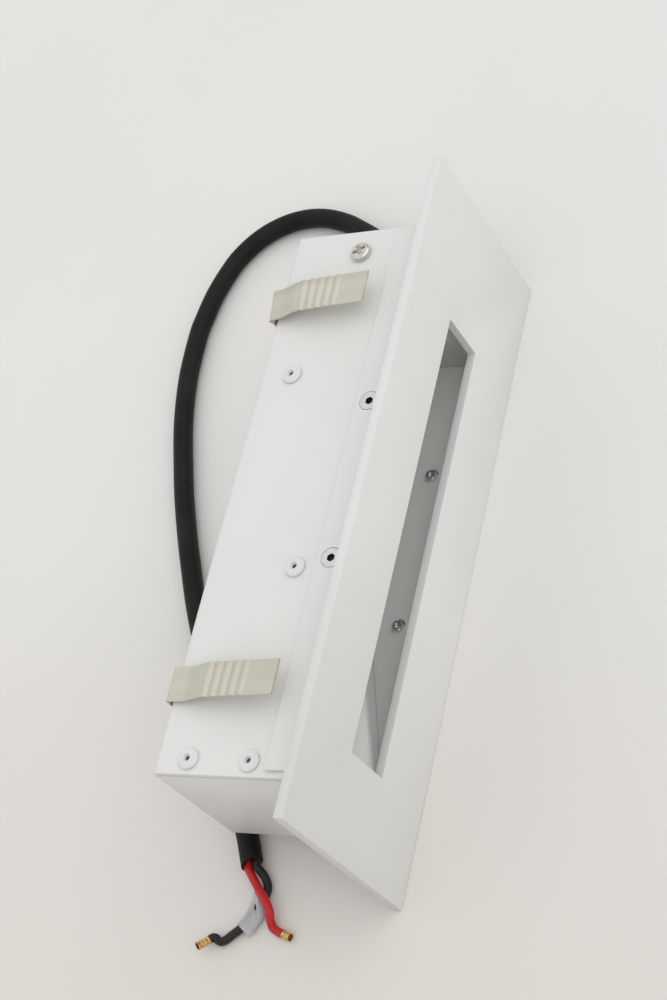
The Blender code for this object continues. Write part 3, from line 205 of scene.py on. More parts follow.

# %% [markdown]
# ## Metals
#
# The springs are rolled steel: faint lines run along the strip, so the noise is stretched in one direction.
# The pan screws are nickel plated, the countersunk ones are bare bright steel with painted shade in the
# socket, and the crimp sleeves are thin brass.

# %% Metal finishes
spring_steel = make_finish(
    "spring_steel", ((0.66, 0.63, 0.55), (0.72, 0.70, 0.62)), 40.0, (0.42, 0.54), 420.0, 0.000006,
    stretch=(4.0, 0.25, 1.0), metallic=1.0,
)
nickel = make_finish(
    "nickel", ((0.63, 0.62, 0.58), (0.73, 0.72, 0.68)), 300.0, (0.18, 0.30), 900.0, 0.000006, metallic=1.0
)
bright_steel = make_finish(
    "bright_steel", ((0.72, 0.72, 0.70), (0.81, 0.81, 0.79)), 300.0, (0.20, 0.32), 900.0, 0.000006,
    metallic=1.0,
)
# The socket is coloured near black, as painted shade in the screw's socket.
socket_painted_shade = make_finish(
    "socket_painted_shade", ((0.030, 0.029, 0.028), (0.050, 0.048, 0.046)), 400.0, (0.50, 0.65), 1200.0, 0.000010,
    metallic=0.4,
)
zinc = make_finish(
    "zinc", ((0.50, 0.51, 0.52), (0.60, 0.60, 0.60)), 260.0, (0.28, 0.42), 900.0, 0.000008, metallic=1.0
)
aluminium = make_finish(
    "aluminium", ((0.68, 0.68, 0.69), (0.76, 0.76, 0.77)), 60.0, (0.34, 0.48), 700.0, 0.000008,
    stretch=(0.15, 3.0, 1.0), metallic=1.0,
)
brass = make_finish(
    "brass", ((0.62, 0.41, 0.14), (0.80, 0.58, 0.26)), 500.0, (0.22, 0.38), 1200.0, 0.000010, metallic=1.0
)

# %% [markdown]
# ## Plastics and rubber
#
# The cable's jacket is soft black plastic with a satin skin. The wire coats are smoother. The
# pieces inside the housing have plain moulded finishes.

# %% Plastic finishes
jacket_black = make_finish(
    "jacket_black", ((0.004, 0.005, 0.004), (0.009, 0.010, 0.009)), 90.0, (0.46, 0.62), 1600.0, 0.000020,
    gloss=0.22,
)
wire_black_coat = make_finish(
    "wire_black_coat", ((0.011, 0.010, 0.009), (0.017, 0.016, 0.015)), 200.0, (0.38, 0.52), 1400.0, 0.000010,
    gloss=0.35,
)
wire_red_coat = make_finish(
    "wire_red_coat", ((0.50, 0.012, 0.018), (0.61, 0.020, 0.026)), 160.0, (0.32, 0.46), 1400.0, 0.000010,
    gloss=0.35,
)
grey_plastic = make_finish(
    "grey_plastic", ((0.46, 0.47, 0.48), (0.52, 0.53, 0.54)), 120.0, (0.44, 0.56), 1500.0, 0.000012
)
tie_plastic = make_finish(
    "tie_plastic", ((0.70, 0.70, 0.66), (0.77, 0.77, 0.73)), 150.0, (0.36, 0.50), 1300.0, 0.000010
)
pad_grey = make_finish(
    "pad_grey", ((0.40, 0.42, 0.45), (0.48, 0.50, 0.53)), 90.0, (0.74, 0.86), 900.0, 0.000030
)
board_white = make_finish(
    "board_white", ((0.74, 0.76, 0.73), (0.79, 0.80, 0.77)), 150.0, (0.30, 0.44), 1100.0, 0.000008
)
clear_plastic = make_finish(
    "clear_plastic", ((0.88, 0.90, 0.91), (0.93, 0.94, 0.95)), 80.0, (0.08, 0.16), 900.0, 0.000004
)
clear_plastic.node_tree.nodes["Principled BSDF"].inputs["Transmission Weight"].default_value = 0.85
marker_film = make_finish(
    "marker_film", ((0.80, 0.81, 0.83), (0.88, 0.89, 0.90)), 260.0, (0.30, 0.44), 900.0, 0.000020
)
marker_film.node_tree.nodes["Principled BSDF"].inputs["Transmission Weight"].default_value = 0.55
print("finishes", len(bpy.data.materials))

# %% [markdown]
# ## The cable
#
# A cable is a fixed length of something springy. It leaves the far end cap through a rubber bush,
# falls to the bench, swings round in one wide loop and comes back behind the housing. A bevelled
# curve could stand for it, but the cut end shows the jacket's thickness. So it is swept: a ring of
# points is carried along the route, and at the cut the ring turns inwards. The cutters were held
# askew, so the points near the cut are shifted along the cable, out on one side and in on the other.

# %% Lines that bend smoothly
def smooth_line(points, step):
    """Pass a Catmull-Rom line through points and return it at even steps."""
    knots = [Vector(p) for p in points]
    dense = []
    for k in range(len(knots) - 1):
        p1, p2 = knots[k], knots[k + 1]
        p0 = knots[k - 1] if k else p1 * 2 - p2
        p3 = knots[k + 2] if k + 2 < len(knots) else p2 * 2 - p1
        for m in range(8):
            t = m / 8
            dense.append(
                (p1 * 2 + (p2 - p0) * t + (p0 * 2 - p1 * 5 + p2 * 4 - p3) * t ** 2
                 + (p1 * 3 - p0 - p2 * 3 + p3) * t ** 3) / 2
            )
    dense.append(knots[-1])
    total = sum((b - a).length for a, b in zip(dense, dense[1:]))
    count = max(2, round(total / step))
    line = [dense[0]]
    wanted, walked = total / count, 0.0
    for a, b in zip(dense, dense[1:]):
        part = (b - a).length
        while walked + part >= wanted * len(line) - 1e-9 and len(line) < count:
            line.append(a.lerp(b, (wanted * len(line) - walked) / part))
        walked += part
    line.append(dense[-1])
    return line


def sweep(name, line, radii, finish, sides):
    """Carry a ring along a line; radii hold a point's number, a shift and a radius for each ring."""
    shape = bmesh.new()
    normal = (line[1] - line[0]).orthogonal().normalized()
    frames = []
    for k, point in enumerate(line):
        along = (line[min(k + 1, len(line) - 1)] - line[max(k - 1, 0)]).normalized()
        normal = (normal - along * normal.dot(along)).normalized()
        frames.append((point, along, normal, along.cross(normal)))
    rings = []
    for station, shift, radius in radii:
        point, along, normal, side = frames[station]
        centre = point + along * shift
        ring = []
        for m in range(sides):
            turn = 2 * math.pi * m / sides
            ring.append(shape.verts.new(centre + (normal * math.cos(turn) + side * math.sin(turn)) * radius))
        rings.append(ring)
    for below, above in zip(rings, rings[1:]):
        for m in range(sides):
            n = (m + 1) % sides
            shape.faces.new((below[m], below[n], above[n], above[m]))
    shape.faces.new(rings[0][::-1])
    shape.faces.new(rings[-1])
    return finished_mesh(name, shape, finish)


def finished_mesh(name, shape, finish, corner=40.0):
    """Close a bmesh into a smooth object with sharp corners kept."""
    bmesh.ops.recalc_face_normals(shape, faces=shape.faces)
    mesh = bpy.data.meshes.new(name)
    shape.to_mesh(mesh)
    shape.free()
    mesh.shade_smooth()
    mesh.set_sharp_from_angle(angle=math.radians(corner))
    mesh.materials.append(finish)
    obj = bpy.data.objects.new(name, mesh)
    scene.collection.objects.link(obj)
    return obj


# %% Sweep the cable along its route
CABLE_RADIUS = 0.0037
CABLE_ROUTE = [
    (0.1094, 0.0300, -0.0130), (0.1110, 0.0300, -0.0130), (0.1171, 0.0314, -0.0139),
    (0.1226, 0.0340, -0.0156), (0.1271, 0.0377, -0.0181), (0.1306, 0.0421, -0.0212),
    (0.1331, 0.0470, -0.0248), (0.1347, 0.0520, -0.0286), (0.1371, 0.0571, -0.0317),
    (0.1404, 0.0622, -0.0339), (0.1445, 0.0671, -0.0353), (0.1480, 0.0726, -0.0353),
    (0.1514, 0.0782, -0.0353), (0.1540, 0.0842, -0.0353), (0.1559, 0.0904, -0.0353),
    (0.1566, 0.0968, -0.0353), (0.1561, 0.1033, -0.0353), (0.1544, 0.1094, -0.0353),
    (0.1515, 0.1152, -0.0353), (0.1475, 0.1202, -0.0353), (0.1426, 0.1244, -0.0353),
    (0.1371, 0.1276, -0.0353), (0.1249, 0.1319, -0.0353), (0.1122, 0.1340, -0.0353),
    (0.1058, 0.1345, -0.0353), (0.0897, 0.1338, -0.0353), (0.0759, 0.1318, -0.0353),
    (0.0623, 0.1287, -0.0353), (0.0481, 0.1244, -0.0353), (0.0338, 0.1197, -0.0353),
    (0.0190, 0.1141, -0.0353), (0.0046, 0.1081, -0.0353), (-0.0136, 0.1000, -0.0353),
    (-0.0350, 0.0890, -0.0353), (-0.0560, 0.0778, -0.0353), (-0.0760, 0.0670, -0.0353),
    (-0.0940, 0.0567, -0.0353), (-0.0983, 0.0545, -0.0353), (-0.1016, 0.0530, -0.0353),
    (-0.1046, 0.0516, -0.0353),
]
CABLE_SIDES = 28
CABLE_STEP = 0.0024
EDGE_ROUND = 0.0002
JACKET_WALL = 0.0009
MOUTH_DEPTH = 0.0016
CUT_REACH = 0.0062
CUT_FLAT, CUT_FADE = 0.0017, 0.0040
CUT_LEAN = 0.26

cable_line = smooth_line(CABLE_ROUTE, CABLE_STEP)
last = len(cable_line) - 1
rings = [(0, 0.0, CABLE_RADIUS - 0.0003)]
rings += [(k, 0.0, CABLE_RADIUS) for k in range(1, last)]
rings += [
    (last, -EDGE_ROUND, CABLE_RADIUS), (last, 0.0, CABLE_RADIUS - EDGE_ROUND),
    (last, 0.0, CABLE_RADIUS - JACKET_WALL), (last, -MOUTH_DEPTH, CABLE_RADIUS - JACKET_WALL),
]
cable = sweep("cable", cable_line, rings, jacket_black, sides=CABLE_SIDES)
cut_middle = cable_line[-1]
cut_way = (cut_middle - cable_line[-2]).normalized()
cut_side = cut_way.cross(Vector((0, 0, 1))).normalized()
for vertex in cable.data.vertices:
    away = vertex.co - cut_middle
    if away.length < CUT_REACH:
        nearness = 1.0 + min(0.0, away.dot(cut_way) + CUT_FLAT) / CUT_FADE
        vertex.co += cut_way * away.dot(cut_side) * CUT_LEAN * max(0.0, min(1.0, nearness))
cable_length = sum((b - a).length for a, b in zip(cable_line, cable_line[1:]))
print("cable", round(cable_length, 4), "m in", len(cable_line), "points")

# %% [markdown]
# ## The two wires
#
# A red and a black wire leave the cut jacket, cross, and end in crimped brass sleeves. They follow
# their own routes in the same way. Each starts a little inside the jacket, as it does in life.

# %% Sweep the wires
WIRE_RADIUS = 0.0014
WIRE_STEP = 0.0007
WIRE_INSIDE = 0.0024
RED_ROUTE = [
    (-0.1055, 0.0528, -0.0353), (-0.1066, 0.0523, -0.0353), (-0.1097, 0.0495, -0.0351),
    (-0.1124, 0.0469, -0.0347), (-0.1149, 0.0444, -0.0345), (-0.1176, 0.0421, -0.0346),
    (-0.1196, 0.0410, -0.0354), (-0.1217, 0.0409, -0.0366), (-0.1239, 0.0399, -0.0374),
    (-0.1252, 0.0376, -0.0376), (-0.1257, 0.0359, -0.0376),
]
BLACK_ROUTE = [
    (-0.1042, 0.0501, -0.0353), (-0.1053, 0.0496, -0.0353), (-0.1080, 0.0467, -0.0364),
    (-0.1105, 0.0453, -0.0373), (-0.1129, 0.0451, -0.0376), (-0.1151, 0.0457, -0.0375),
    (-0.1175, 0.0467, -0.0372), (-0.1201, 0.0477, -0.0371), (-0.1227, 0.0491, -0.0371),
    (-0.1252, 0.0512, -0.0373), (-0.1272, 0.0537, -0.0376), (-0.1291, 0.0557, -0.0376),
    (-0.1300, 0.0572, -0.0376), (-0.1298, 0.0584, -0.0374), (-0.1291, 0.0594, -0.0372),
    (-0.1289, 0.0602, -0.0371), (-0.1293, 0.0609, -0.0370), (-0.1299, 0.0613, -0.0368),
]
inward = (cable_line[-2] - cable_line[-1]).normalized() * WIRE_INSIDE


def make_wire(name, route, finish):
    line = smooth_line([Vector(route[0]) + inward, *route], WIRE_STEP)
    end = len(line) - 1
    stations = [(k, 0.0, WIRE_RADIUS) for k in range(end)]
    stations[0] = (0, 0.0, WIRE_RADIUS - EDGE_ROUND)
    stations += [(end, -EDGE_ROUND / 2, WIRE_RADIUS), (end, 0.0, WIRE_RADIUS - EDGE_ROUND)]
    return sweep(name, line, stations, finish, sides=20)


red_wire = make_wire("red_wire", RED_ROUTE, wire_red_coat)
black_wire = make_wire("black_wire", BLACK_ROUTE, wire_black_coat)
print("wires", len(red_wire.data.vertices), "and", len(black_wire.data.vertices), "points")

# %% [markdown]
# ## Crimp sleeves
#
# A crimp sleeve is a thin brass tube squeezed onto the strands. The press leaves grooves round it,
# and the open end is dark. It is swept along the wire's last direction, lifted a little: each
# groove is four rings, and the last rings turn inwards.

# %% Make the crimp sleeves
SLEEVE_START = [(0, 0.0, 0.0012), (0, 0.0002, WIRE_RADIUS)]
GROOVE_PROFILE = ((-0.0005, WIRE_RADIUS), (-0.0002, 0.00112), (0.0002, 0.00112), (0.0005, WIRE_RADIUS))
SLEEVE_MOUTH = [(1, -0.0002, WIRE_RADIUS), (1, 0.0, 0.0014), (1, 0.0, 0.0011), (1, -0.0020, 0.0010)]


def make_sleeve(name, route, grooves, length, lift):
    tip, before = Vector(route[-1]), Vector(route[-2])
    along = ((tip - before).normalized() + Vector((0, 0, lift))).normalized()
    line = [tip + along * 0.0003, tip + along * length]
    stations = list(SLEEVE_START)
    for middle in grooves:
        for shift, radius in GROOVE_PROFILE:
            stations.append((0, middle + shift, radius))
    return sweep(name, line, stations + SLEEVE_MOUTH, brass, sides=24)


red_sleeve = make_sleeve("red_sleeve", RED_ROUTE, (0.0011,), 0.0035, 0.10)
black_sleeve = make_sleeve("black_sleeve", BLACK_ROUTE, (0.0010, 0.0023, 0.0036), 0.0048, 0.45)
print("sleeves", len(red_sleeve.data.vertices), "and", len(black_sleeve.data.vertices), "points")

# %% [markdown]
# ## The marker
#
# A short flat sleeve of clear film is pushed over the black wire, where a number would be printed.
# It could be a plain tube, but it lies askew: the wire enters near one corner and leaves near the
# other. So its left and right edges are drawn from above, and each ring is an oval between them.
# Points close to a short line are pressed down, which leaves the crease.

# %% Shape the marker
FILM_LEFT = [
    (-0.1126, 0.0494), (-0.1160, 0.0497), (-0.1192, 0.0501), (-0.1216, 0.0512), (-0.1238, 0.0527),
]
FILM_RIGHT = [
    (-0.1170, 0.0450), (-0.1190, 0.0442), (-0.1215, 0.0443), (-0.1242, 0.0456), (-0.1276, 0.0476),
]
FILM_LEVEL = -0.0374
FILM_OUTER, FILM_INNER = (0.0018, 0.00165), (0.00164, 0.00149)
FILM_WALL = 0.00022
FILM_STEP = 0.0003
FILM_SIDES = 48
FILM_STATIONS = 40
CREASE = (Vector((-0.1174, 0.0474, 0.0)), Vector((-0.1216, 0.0455, 0.0)))
CREASE_DEPTH = 0.00045
CREASE_WIDTH = 0.00028


def film_ring(shape, left, right, over, under):
    """An oval between two edge points, pressed down near the crease."""
    middle, reach = (left + right) / 2, (left - right) / 2
    ring = []
    for m in range(FILM_SIDES):
        turn = 2 * math.pi * m / FILM_SIDES
        point = middle + reach * math.cos(turn)
        rise = math.sin(turn)
        point.z = FILM_LEVEL + rise * (over if rise > 0 else under)
        start, stop = CREASE
        flat = Vector((point.x, point.y, 0.0))
        share = min(1.0, max(0.0, (flat - start).dot(stop - start) / (stop - start).length_squared))
        away = (flat - start.lerp(stop, share)).length
        if rise > 0:
            point.z -= CREASE_DEPTH * math.exp(-((away / CREASE_WIDTH) ** 2))
        ring.append(shape.verts.new(point))
    return ring


shape = bmesh.new()
left_line = smooth_line([(x, y, 0.0) for x, y in FILM_LEFT], FILM_STEP)
right_line = smooth_line([(x, y, 0.0) for x, y in FILM_RIGHT], FILM_STEP)
outer, inner = [], []
for k in range(FILM_STATIONS + 1):
    left = left_line[round(k * (len(left_line) - 1) / FILM_STATIONS)]
    right = right_line[round(k * (len(right_line) - 1) / FILM_STATIONS)]
    inset = (left - right).normalized() * FILM_WALL
    outer.append(film_ring(shape, left, right, *FILM_OUTER))
    inner.append(film_ring(shape, left - inset, right + inset, *FILM_INNER))
rims = [(outer[0], inner[0]), (outer[-1], inner[-1])]
for below, above in [*rims, *zip(outer, outer[1:]), *zip(inner, inner[1:])]:
    for m in range(FILM_SIDES):
        n = (m + 1) % FILM_SIDES
        shape.faces.new((below[m], below[n], above[n], above[m]))
marker = finished_mesh("marker", shape, marker_film, corner=60.0)
print("marker", [round(v, 4) for v in marker.dimensions])

# %% Attach the cord's pieces in place of the frame's
for piece, node, slot_name in (
    (cable, "supply_cable", "black_rubber"), (red_wire, "wire_red", "red_sleeve"),
    (black_wire, "wire_black", "black_sleeve"), (red_sleeve, "ferrule_red", "brass"),
    (black_sleeve, "ferrule_black", "brass"), (marker, "marker_sleeve", "marker_plastic"),
):
    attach(piece, "root")
    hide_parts(node)

# %% [markdown]
# ## Sheet metal with soft corners
#
# A folded sheet has round bends and slightly rolled edges. The frame's own mesh is exact but made
# of loose triangles, so a copy of it is taken, its points are joined, its flat areas are cleaned,
# and a narrow bevel rounds the edges. The copy stands for the frame's piece.

# %% Dress the sheet metal
def dress(node, finish, edge=0.00012):
    """Copy a frame piece, join its points and round its edges."""
    shape = bmesh.new()
    shape.from_mesh(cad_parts[node].data)
    bmesh.ops.remove_doubles(shape, verts=shape.verts, dist=1e-6)
    bmesh.ops.dissolve_limit(shape, angle_limit=math.radians(1.0), verts=shape.verts, edges=shape.edges)
    piece = finished_mesh(node + "_skin", shape, finish, corner=28.0)
    bevel = piece.modifiers.new("edge", "BEVEL")
    bevel.width = edge
    bevel.segments = 2
    bevel.limit_method = "ANGLE"
    bevel.angle_limit = math.radians(50.0)
    bevel.harden_normals = True
    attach(piece, "root")
    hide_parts(node)
    return piece


flanges = [dress(node, powder_coat) for node in ("flange_top", "flange_bottom")]
for node in ("housing_shell", "end_cap_far"):
    dress(node, powder_coat)
near_cap = dress("end_cap_near", powder_coat, edge=0.00018)
dress("face_plate", plate_shaded_coat, edge=0.0003)
tray = dress("reflector_tray", chamber_white, edge=0.00010)
print("tray faces", len(tray.data.polygons))

# %% [markdown]
# ## Holes and edges that fit closely
#
# Where sheets meet, the real light leaves hardly a gap. The screw heads nearly fill the holes of
# the flanges, and the near cap closes over the edge of the shell. New sheets could be modelled, but
# only a few points differ, so those points of the copies are moved: the rim of each hole towards
# its screw, and the cap's outer face over the shell's end.

# %% Draw the screw holes closer round the heads
HOLE_MIDDLES = (Vector((-0.0264, 0.0100)), Vector((0.0293, 0.0100)))
SCREW_MIDDLES = (Vector((-0.0270, 0.0098)), Vector((0.0289, 0.0098)))
RIM_FROM, RIM_TO = 0.0032, 0.0046
RIM_SHARE = 0.84
drawn_in = 0
for flange in flanges:
    for vertex in flange.data.vertices:
        for hole, screw in zip(HOLE_MIDDLES, SCREW_MIDDLES):
            away = vertex.co.xy - hole
            if RIM_FROM < away.length < RIM_TO:
                vertex.co.xy = screw + away * RIM_SHARE
                drawn_in += 1
print("hole points drawn in", drawn_in)

# %% Let the near cap cover the shell's edge
CAP_FACE_X = -0.0975
CAP_BACK_FROM = 0.0500
HAIR = 0.0001
COVER_X = -0.0981
COVER_BACK = 0.0548
COVER_TOP, COVER_FOOT = 0.0222, -0.0248
covered = 0
for vertex in near_cap.data.vertices:
    if vertex.co.x < CAP_FACE_X + HAIR:
        vertex.co.x = COVER_X
        if vertex.co.y > CAP_BACK_FROM:
            vertex.co.y = COVER_BACK
        vertex.co.z = COVER_TOP if vertex.co.z > 0.0 else COVER_FOOT
        covered += 1
near_cap.data.update()
print("cap points moved", covered)

# %% [markdown]
# ## The curve at the tray's near end
#
# Through the slot, the floor of the tray shows a thin slanting line near one end. Beyond it the sheet curves
# up and catches more light. A flat floor with a painted line would stay flat in every view, so the curve is
# made as a shape: a grid bends up softly beside the line, and then rises evenly. A fine grey rod laid along
# the line draws it darker than the floor.

# %% Curve the tray's near end
LINE_START = Vector((-0.0395, 0.0161))
LINE_END = Vector((-0.0677, 0.0076))
FLOOR_LEVEL = -0.0222
CURVE_LENGTH, CURVE_START, CURVE_WIDTH = 0.0400, 0.0022, 0.0125
CURVE_ROWS, CURVE_STEPS = 24, 16
EASE_WIDTH = 0.0006
EASE_GAIN = 520.0
EASE_ROWS = 5
CURVE_SLOPE = 2 * EASE_GAIN * EASE_WIDTH
CURVE_LIFT, CURVE_SINK = 0.00005, 0.0001
line_way = (LINE_END - LINE_START).normalized()
line_side = Vector((line_way.y, -line_way.x))


def curve_rise(away, row):
    """Height above the floor: a soft start, then an even slope, less in the first rows."""
    rise = EASE_GAIN * min(away, EASE_WIDTH) ** 2 + CURVE_SLOPE * max(0.0, away - EASE_WIDTH)
    return CURVE_LIFT + rise * min(1.0, row / EASE_ROWS)


shape = bmesh.new()
upper, lower = [], []
for k in range(CURVE_ROWS + 1):
    row_up, row_down = [], []
    for m in range(CURVE_STEPS + 1):
        away = CURVE_WIDTH * m / CURVE_STEPS
        spot = LINE_START + line_way * (CURVE_LENGTH * k / CURVE_ROWS) + line_side * (CURVE_START + away)
        row_up.append(shape.verts.new((spot.x, spot.y, FLOOR_LEVEL + curve_rise(away, k))))
        row_down.append(shape.verts.new((spot.x, spot.y, FLOOR_LEVEL - CURVE_SINK)))
    upper.append(row_up)
    lower.append(row_down)
for rows in (upper, lower):
    for k in range(CURVE_ROWS):
        for m in range(CURVE_STEPS):
            shape.faces.new((rows[k][m], rows[k + 1][m], rows[k + 1][m + 1], rows[k][m + 1]))
for k in range(CURVE_ROWS):
    for m in (0, CURVE_STEPS):
        shape.faces.new((upper[k][m], upper[k + 1][m], lower[k + 1][m], lower[k][m]))
for m in range(CURVE_STEPS):
    for k in (0, CURVE_ROWS):
        shape.faces.new((upper[k][m], upper[k][m + 1], lower[k][m + 1], lower[k][m]))
tray_curve = finished_mesh("tray_curve", shape, reflector_sheet, corner=30.0)

# %% Draw the dark line beside the curve with a grey rod
ROD_RADIUS = 0.00007
ROD_LEVEL = FLOOR_LEVEL + 0.00016
ROD_FROM, ROD_TO = -0.002, 0.034
rod_ends = [LINE_START + line_way * reach for reach in (ROD_FROM, ROD_TO)]
# A grey rod along the slanting line draws it as a thin dark line.
tray_rod = sweep(
    "tray_rod", [Vector((*end, ROD_LEVEL)) for end in rod_ends],
    [(0, 0.0, ROD_RADIUS), (1, 0.0, ROD_RADIUS)], grey_plastic, sides=8,
)
for piece in (tray_curve, tray_rod):
    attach(piece, "root")
print("tray curve", len(tray_curve.data.polygons), "rod", len(tray_rod.data.polygons))

# %% [markdown]
# ## Nodes that build fasteners
#
# Ten rivets share one shape, and so do the screws of each kind. Copying meshes would do, but a
# Geometry Nodes tree makes the shape once from named sizes and sets it on every point of a small
# mesh. Each point also carries an arrow that says which way the head looks. The helpers below add
# nodes and link them by name, so the trees read like a parts list.

# %% Helpers for node trees
def new_tree(name, sizes):
    """A Geometry Nodes tree with one named input for each size."""
    group = bpy.data.node_groups.new(name, "GeometryNodeTree")
    group.interface.new_socket("Geometry", in_out="INPUT", socket_type="NodeSocketGeometry")
    for label, value in sizes.items():
        kind = "NodeSocketInt" if isinstance(value, int) else "NodeSocketFloat"
        socket = group.interface.new_socket(label, in_out="INPUT", socket_type=kind)
        socket.default_value = value
    group.interface.new_socket("Geometry", in_out="OUTPUT", socket_type="NodeSocketGeometry")
    return group, group.nodes.new("NodeGroupInput"), group.nodes.new("NodeGroupOutput")


def add_node(group, kind, settings=None, **inputs):
    """Add a node; an input is a number, a vector or another node's socket."""
    node = group.nodes.new(kind)
    for key, value in (settings or {}).items():
        setattr(node, key, value)
    for label, value in inputs.items():
        socket = node.inputs[label.replace("_", " ")]
        if isinstance(value, bpy.types.NodeSocket):
            group.links.new(value, socket)
        else:
            socket.default_value = value
    return node


def tree_math(group, operation, first, second):
    node = group.nodes.new("ShaderNodeMath")
    node.operation = operation
    for k, value in enumerate((first, second)):
        if isinstance(value, bpy.types.NodeSocket):
            group.links.new(value, node.inputs[k])
        else:
            node.inputs[k].default_value = value
    return node.outputs[0]


def times(group, first, second):
    return tree_math(group, "MULTIPLY", first, second)


def plus(group, first, second):
    return tree_math(group, "ADD", first, second)


def minus(group, first, second):
    return tree_math(group, "SUBTRACT", first, second)


def moved(group, geometry, height):
    """Lift a shape along its own Z."""
    vector = add_node(group, "ShaderNodeCombineXYZ", Z=height).outputs[0]
    return add_node(group, "GeometryNodeTransform", Geometry=geometry, Translation=vector).outputs[0]


def cone(group, low_radius, high_radius, depth, base, sides=40):
    """A closed cone or cylinder whose foot stands at a height."""
    made = add_node(
        group, "GeometryNodeMeshCone", Vertices=sides,
        Radius_Top=high_radius, Radius_Bottom=low_radius, Depth=depth,
    )
    return moved(group, made.outputs["Mesh"], base)


def united(group, shapes):
    """Fuse closed shapes into one."""
    node = add_node(group, "GeometryNodeMeshBoolean", {"operation": "UNION", "solver": "EXACT"})
    for shape_socket in shapes:
        group.links.new(shape_socket, node.inputs["Mesh 2"])
    return node.outputs["Mesh"]


def cut(group, shape_socket, tool):
    node = add_node(group, "GeometryNodeMeshBoolean", {"operation": "DIFFERENCE", "solver": "EXACT"})
    group.links.new(shape_socket, node.inputs["Mesh 1"])
    group.links.new(tool, node.inputs["Mesh 2"])
    return node.outputs["Mesh"]


def coated(group, shape_socket, finish):
    return add_node(group, "GeometryNodeSetMaterial", Geometry=shape_socket, Material=finish).outputs[0]


def set_on_points(group, source, target, shape_socket):
    """Set a shape on every point, turn its Z along the arrow, and end in a plain mesh."""
    arrow = add_node(group, "GeometryNodeInputNamedAttribute", {"data_type": "FLOAT_VECTOR"}, Name="arrow")
    turned = add_node(group, "FunctionNodeAlignRotationToVector", {"axis": "Z"}, Vector=arrow.outputs[0])
    placed = add_node(
        group, "GeometryNodeInstanceOnPoints", Points=source.outputs["Geometry"],
        Instance=shape_socket, Rotation=turned.outputs[0],
    )
    solid = add_node(group, "GeometryNodeRealizeInstances", Geometry=placed.outputs[0])
    group.links.new(solid.outputs[0], target.inputs["Geometry"])


def grown_mesh(name, points, group, sizes):
    """Run a tree on a small mesh and return the plain mesh that it makes."""
    source = bpy.data.objects.new(name + "_source", points)
    scene.collection.objects.link(source)
    modifier = source.modifiers.new("tree", "NODES")
    modifier.node_group = group
    for item in group.interface.items_tree:
        if item.item_type == "SOCKET" and item.in_out == "INPUT" and item.name in sizes:
            modifier[item.identifier] = sizes[item.name]
    evaluated = source.evaluated_get(bpy.context.evaluated_depsgraph_get())
    mesh = bpy.data.meshes.new_from_object(evaluated)
    source.modifiers.remove(modifier)
    bpy.data.objects.remove(source, do_unlink=True)
    return mesh


def run_tree(name, group, places, nodes, sizes):
    """Run a tree on the places, keep its result as a plain mesh, and let it stand for the nodes."""
    points = bpy.data.meshes.new(name + "_places")
    points.from_pydata([p for p, _ in places], [], [])
    arrows = points.attributes.new("arrow", "FLOAT_VECTOR", "POINT")
    for k, (_, arrow) in enumerate(places):
        arrows.data[k].vector = arrow
    mesh = grown_mesh(name, points, group, sizes)
    mesh.name = name
    mesh.shade_smooth()
    mesh.set_sharp_from_angle(angle=math.radians(35.0))
    piece = bpy.data.objects.new(name, mesh)
    scene.collection.objects.link(piece)
    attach(piece, "root")
    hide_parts(*nodes)
    print(name, "faces", len(mesh.polygons))
    return piece


# %% [markdown]
# ## Blind rivets
#
# A blind rivet is set from outside: a mandrel is pulled through it until the tail swells inside, then the
# mandrel snaps and leaves a small dark hole in the middle of the head. The tree stacks five rings that round
# the head, the shank, and the swollen tail. Then it cuts the hole with its wide mouth, and puts the stump of
# the mandrel in it, coloured near black as painted shade in the hole. The sizes of the head hold for all ten
# rivets, and only the thickness of the sheets between head and tail changes.

# %% Build the rivets
SHELL_TOP = 0.0250
SHELL_BACK = 0.0550
CLEAR = 0.0003
STRAP_BACK = SHELL_BACK + CLEAR + 0.0006
TAIL_HALF = 0.0011
HOLE_LENGTH, HOLE_FOOT = 0.0040, -0.0012
MOUTH_LENGTH, MOUTH_FOOT, MOUTH_FLARE = 0.0014, 0.0008, 2.2
PIN_LENGTH, PIN_FOOT = 0.0016, -0.0010

rivet, rivet_in, rivet_out = new_tree(
    "blind_rivet",
    {
        "Head radius": 0.0034, "Head height": 0.0013, "Hole radius": 0.00075, "Shank radius": 0.0016,
        "Stack": 0.0030, "Tail radius": 0.0024,
    },
)
size = rivet_in.outputs
RIVET_LAYERS = [
    (1.0, 0.98, 0.0, 0.36), (0.98, 0.90, 0.35, 0.52), (0.90, 0.66, 0.51, 0.76),
    (0.66, 0.50, 0.75, 0.92), (0.50, 0.44, 0.91, 1.0),
]
rings = []
for low, top, start, stop in RIVET_LAYERS:
    rings.append(cone(
        rivet, times(rivet, size["Head radius"], low), times(rivet, size["Head radius"], top),
        times(rivet, size["Head height"], stop - start),
        plus(rivet, times(rivet, size["Head height"], start), CLEAR),
    ))
shank_length = plus(rivet, size["Stack"], 2 * CLEAR + 0.0003)
shank_base = minus(rivet, 0.0003, shank_length)
rings.append(cone(rivet, size["Shank radius"], size["Shank radius"], shank_length, shank_base))
tail_base = minus(rivet, -CLEAR - 2 * TAIL_HALF, size["Stack"])
tail_middle = plus(rivet, tail_base, TAIL_HALF - 0.00001)
rings.append(cone(rivet, size["Shank radius"], size["Tail radius"], TAIL_HALF, tail_base))
rings.append(cone(rivet, size["Tail radius"], size["Tail radius"], TAIL_HALF, tail_middle))
hole = cone(rivet, size["Hole radius"], size["Hole radius"], HOLE_LENGTH, HOLE_FOOT)
flared = times(rivet, size["Hole radius"], MOUTH_FLARE)
mouth = cone(rivet, size["Hole radius"], flared, MOUTH_LENGTH, MOUTH_FOOT)
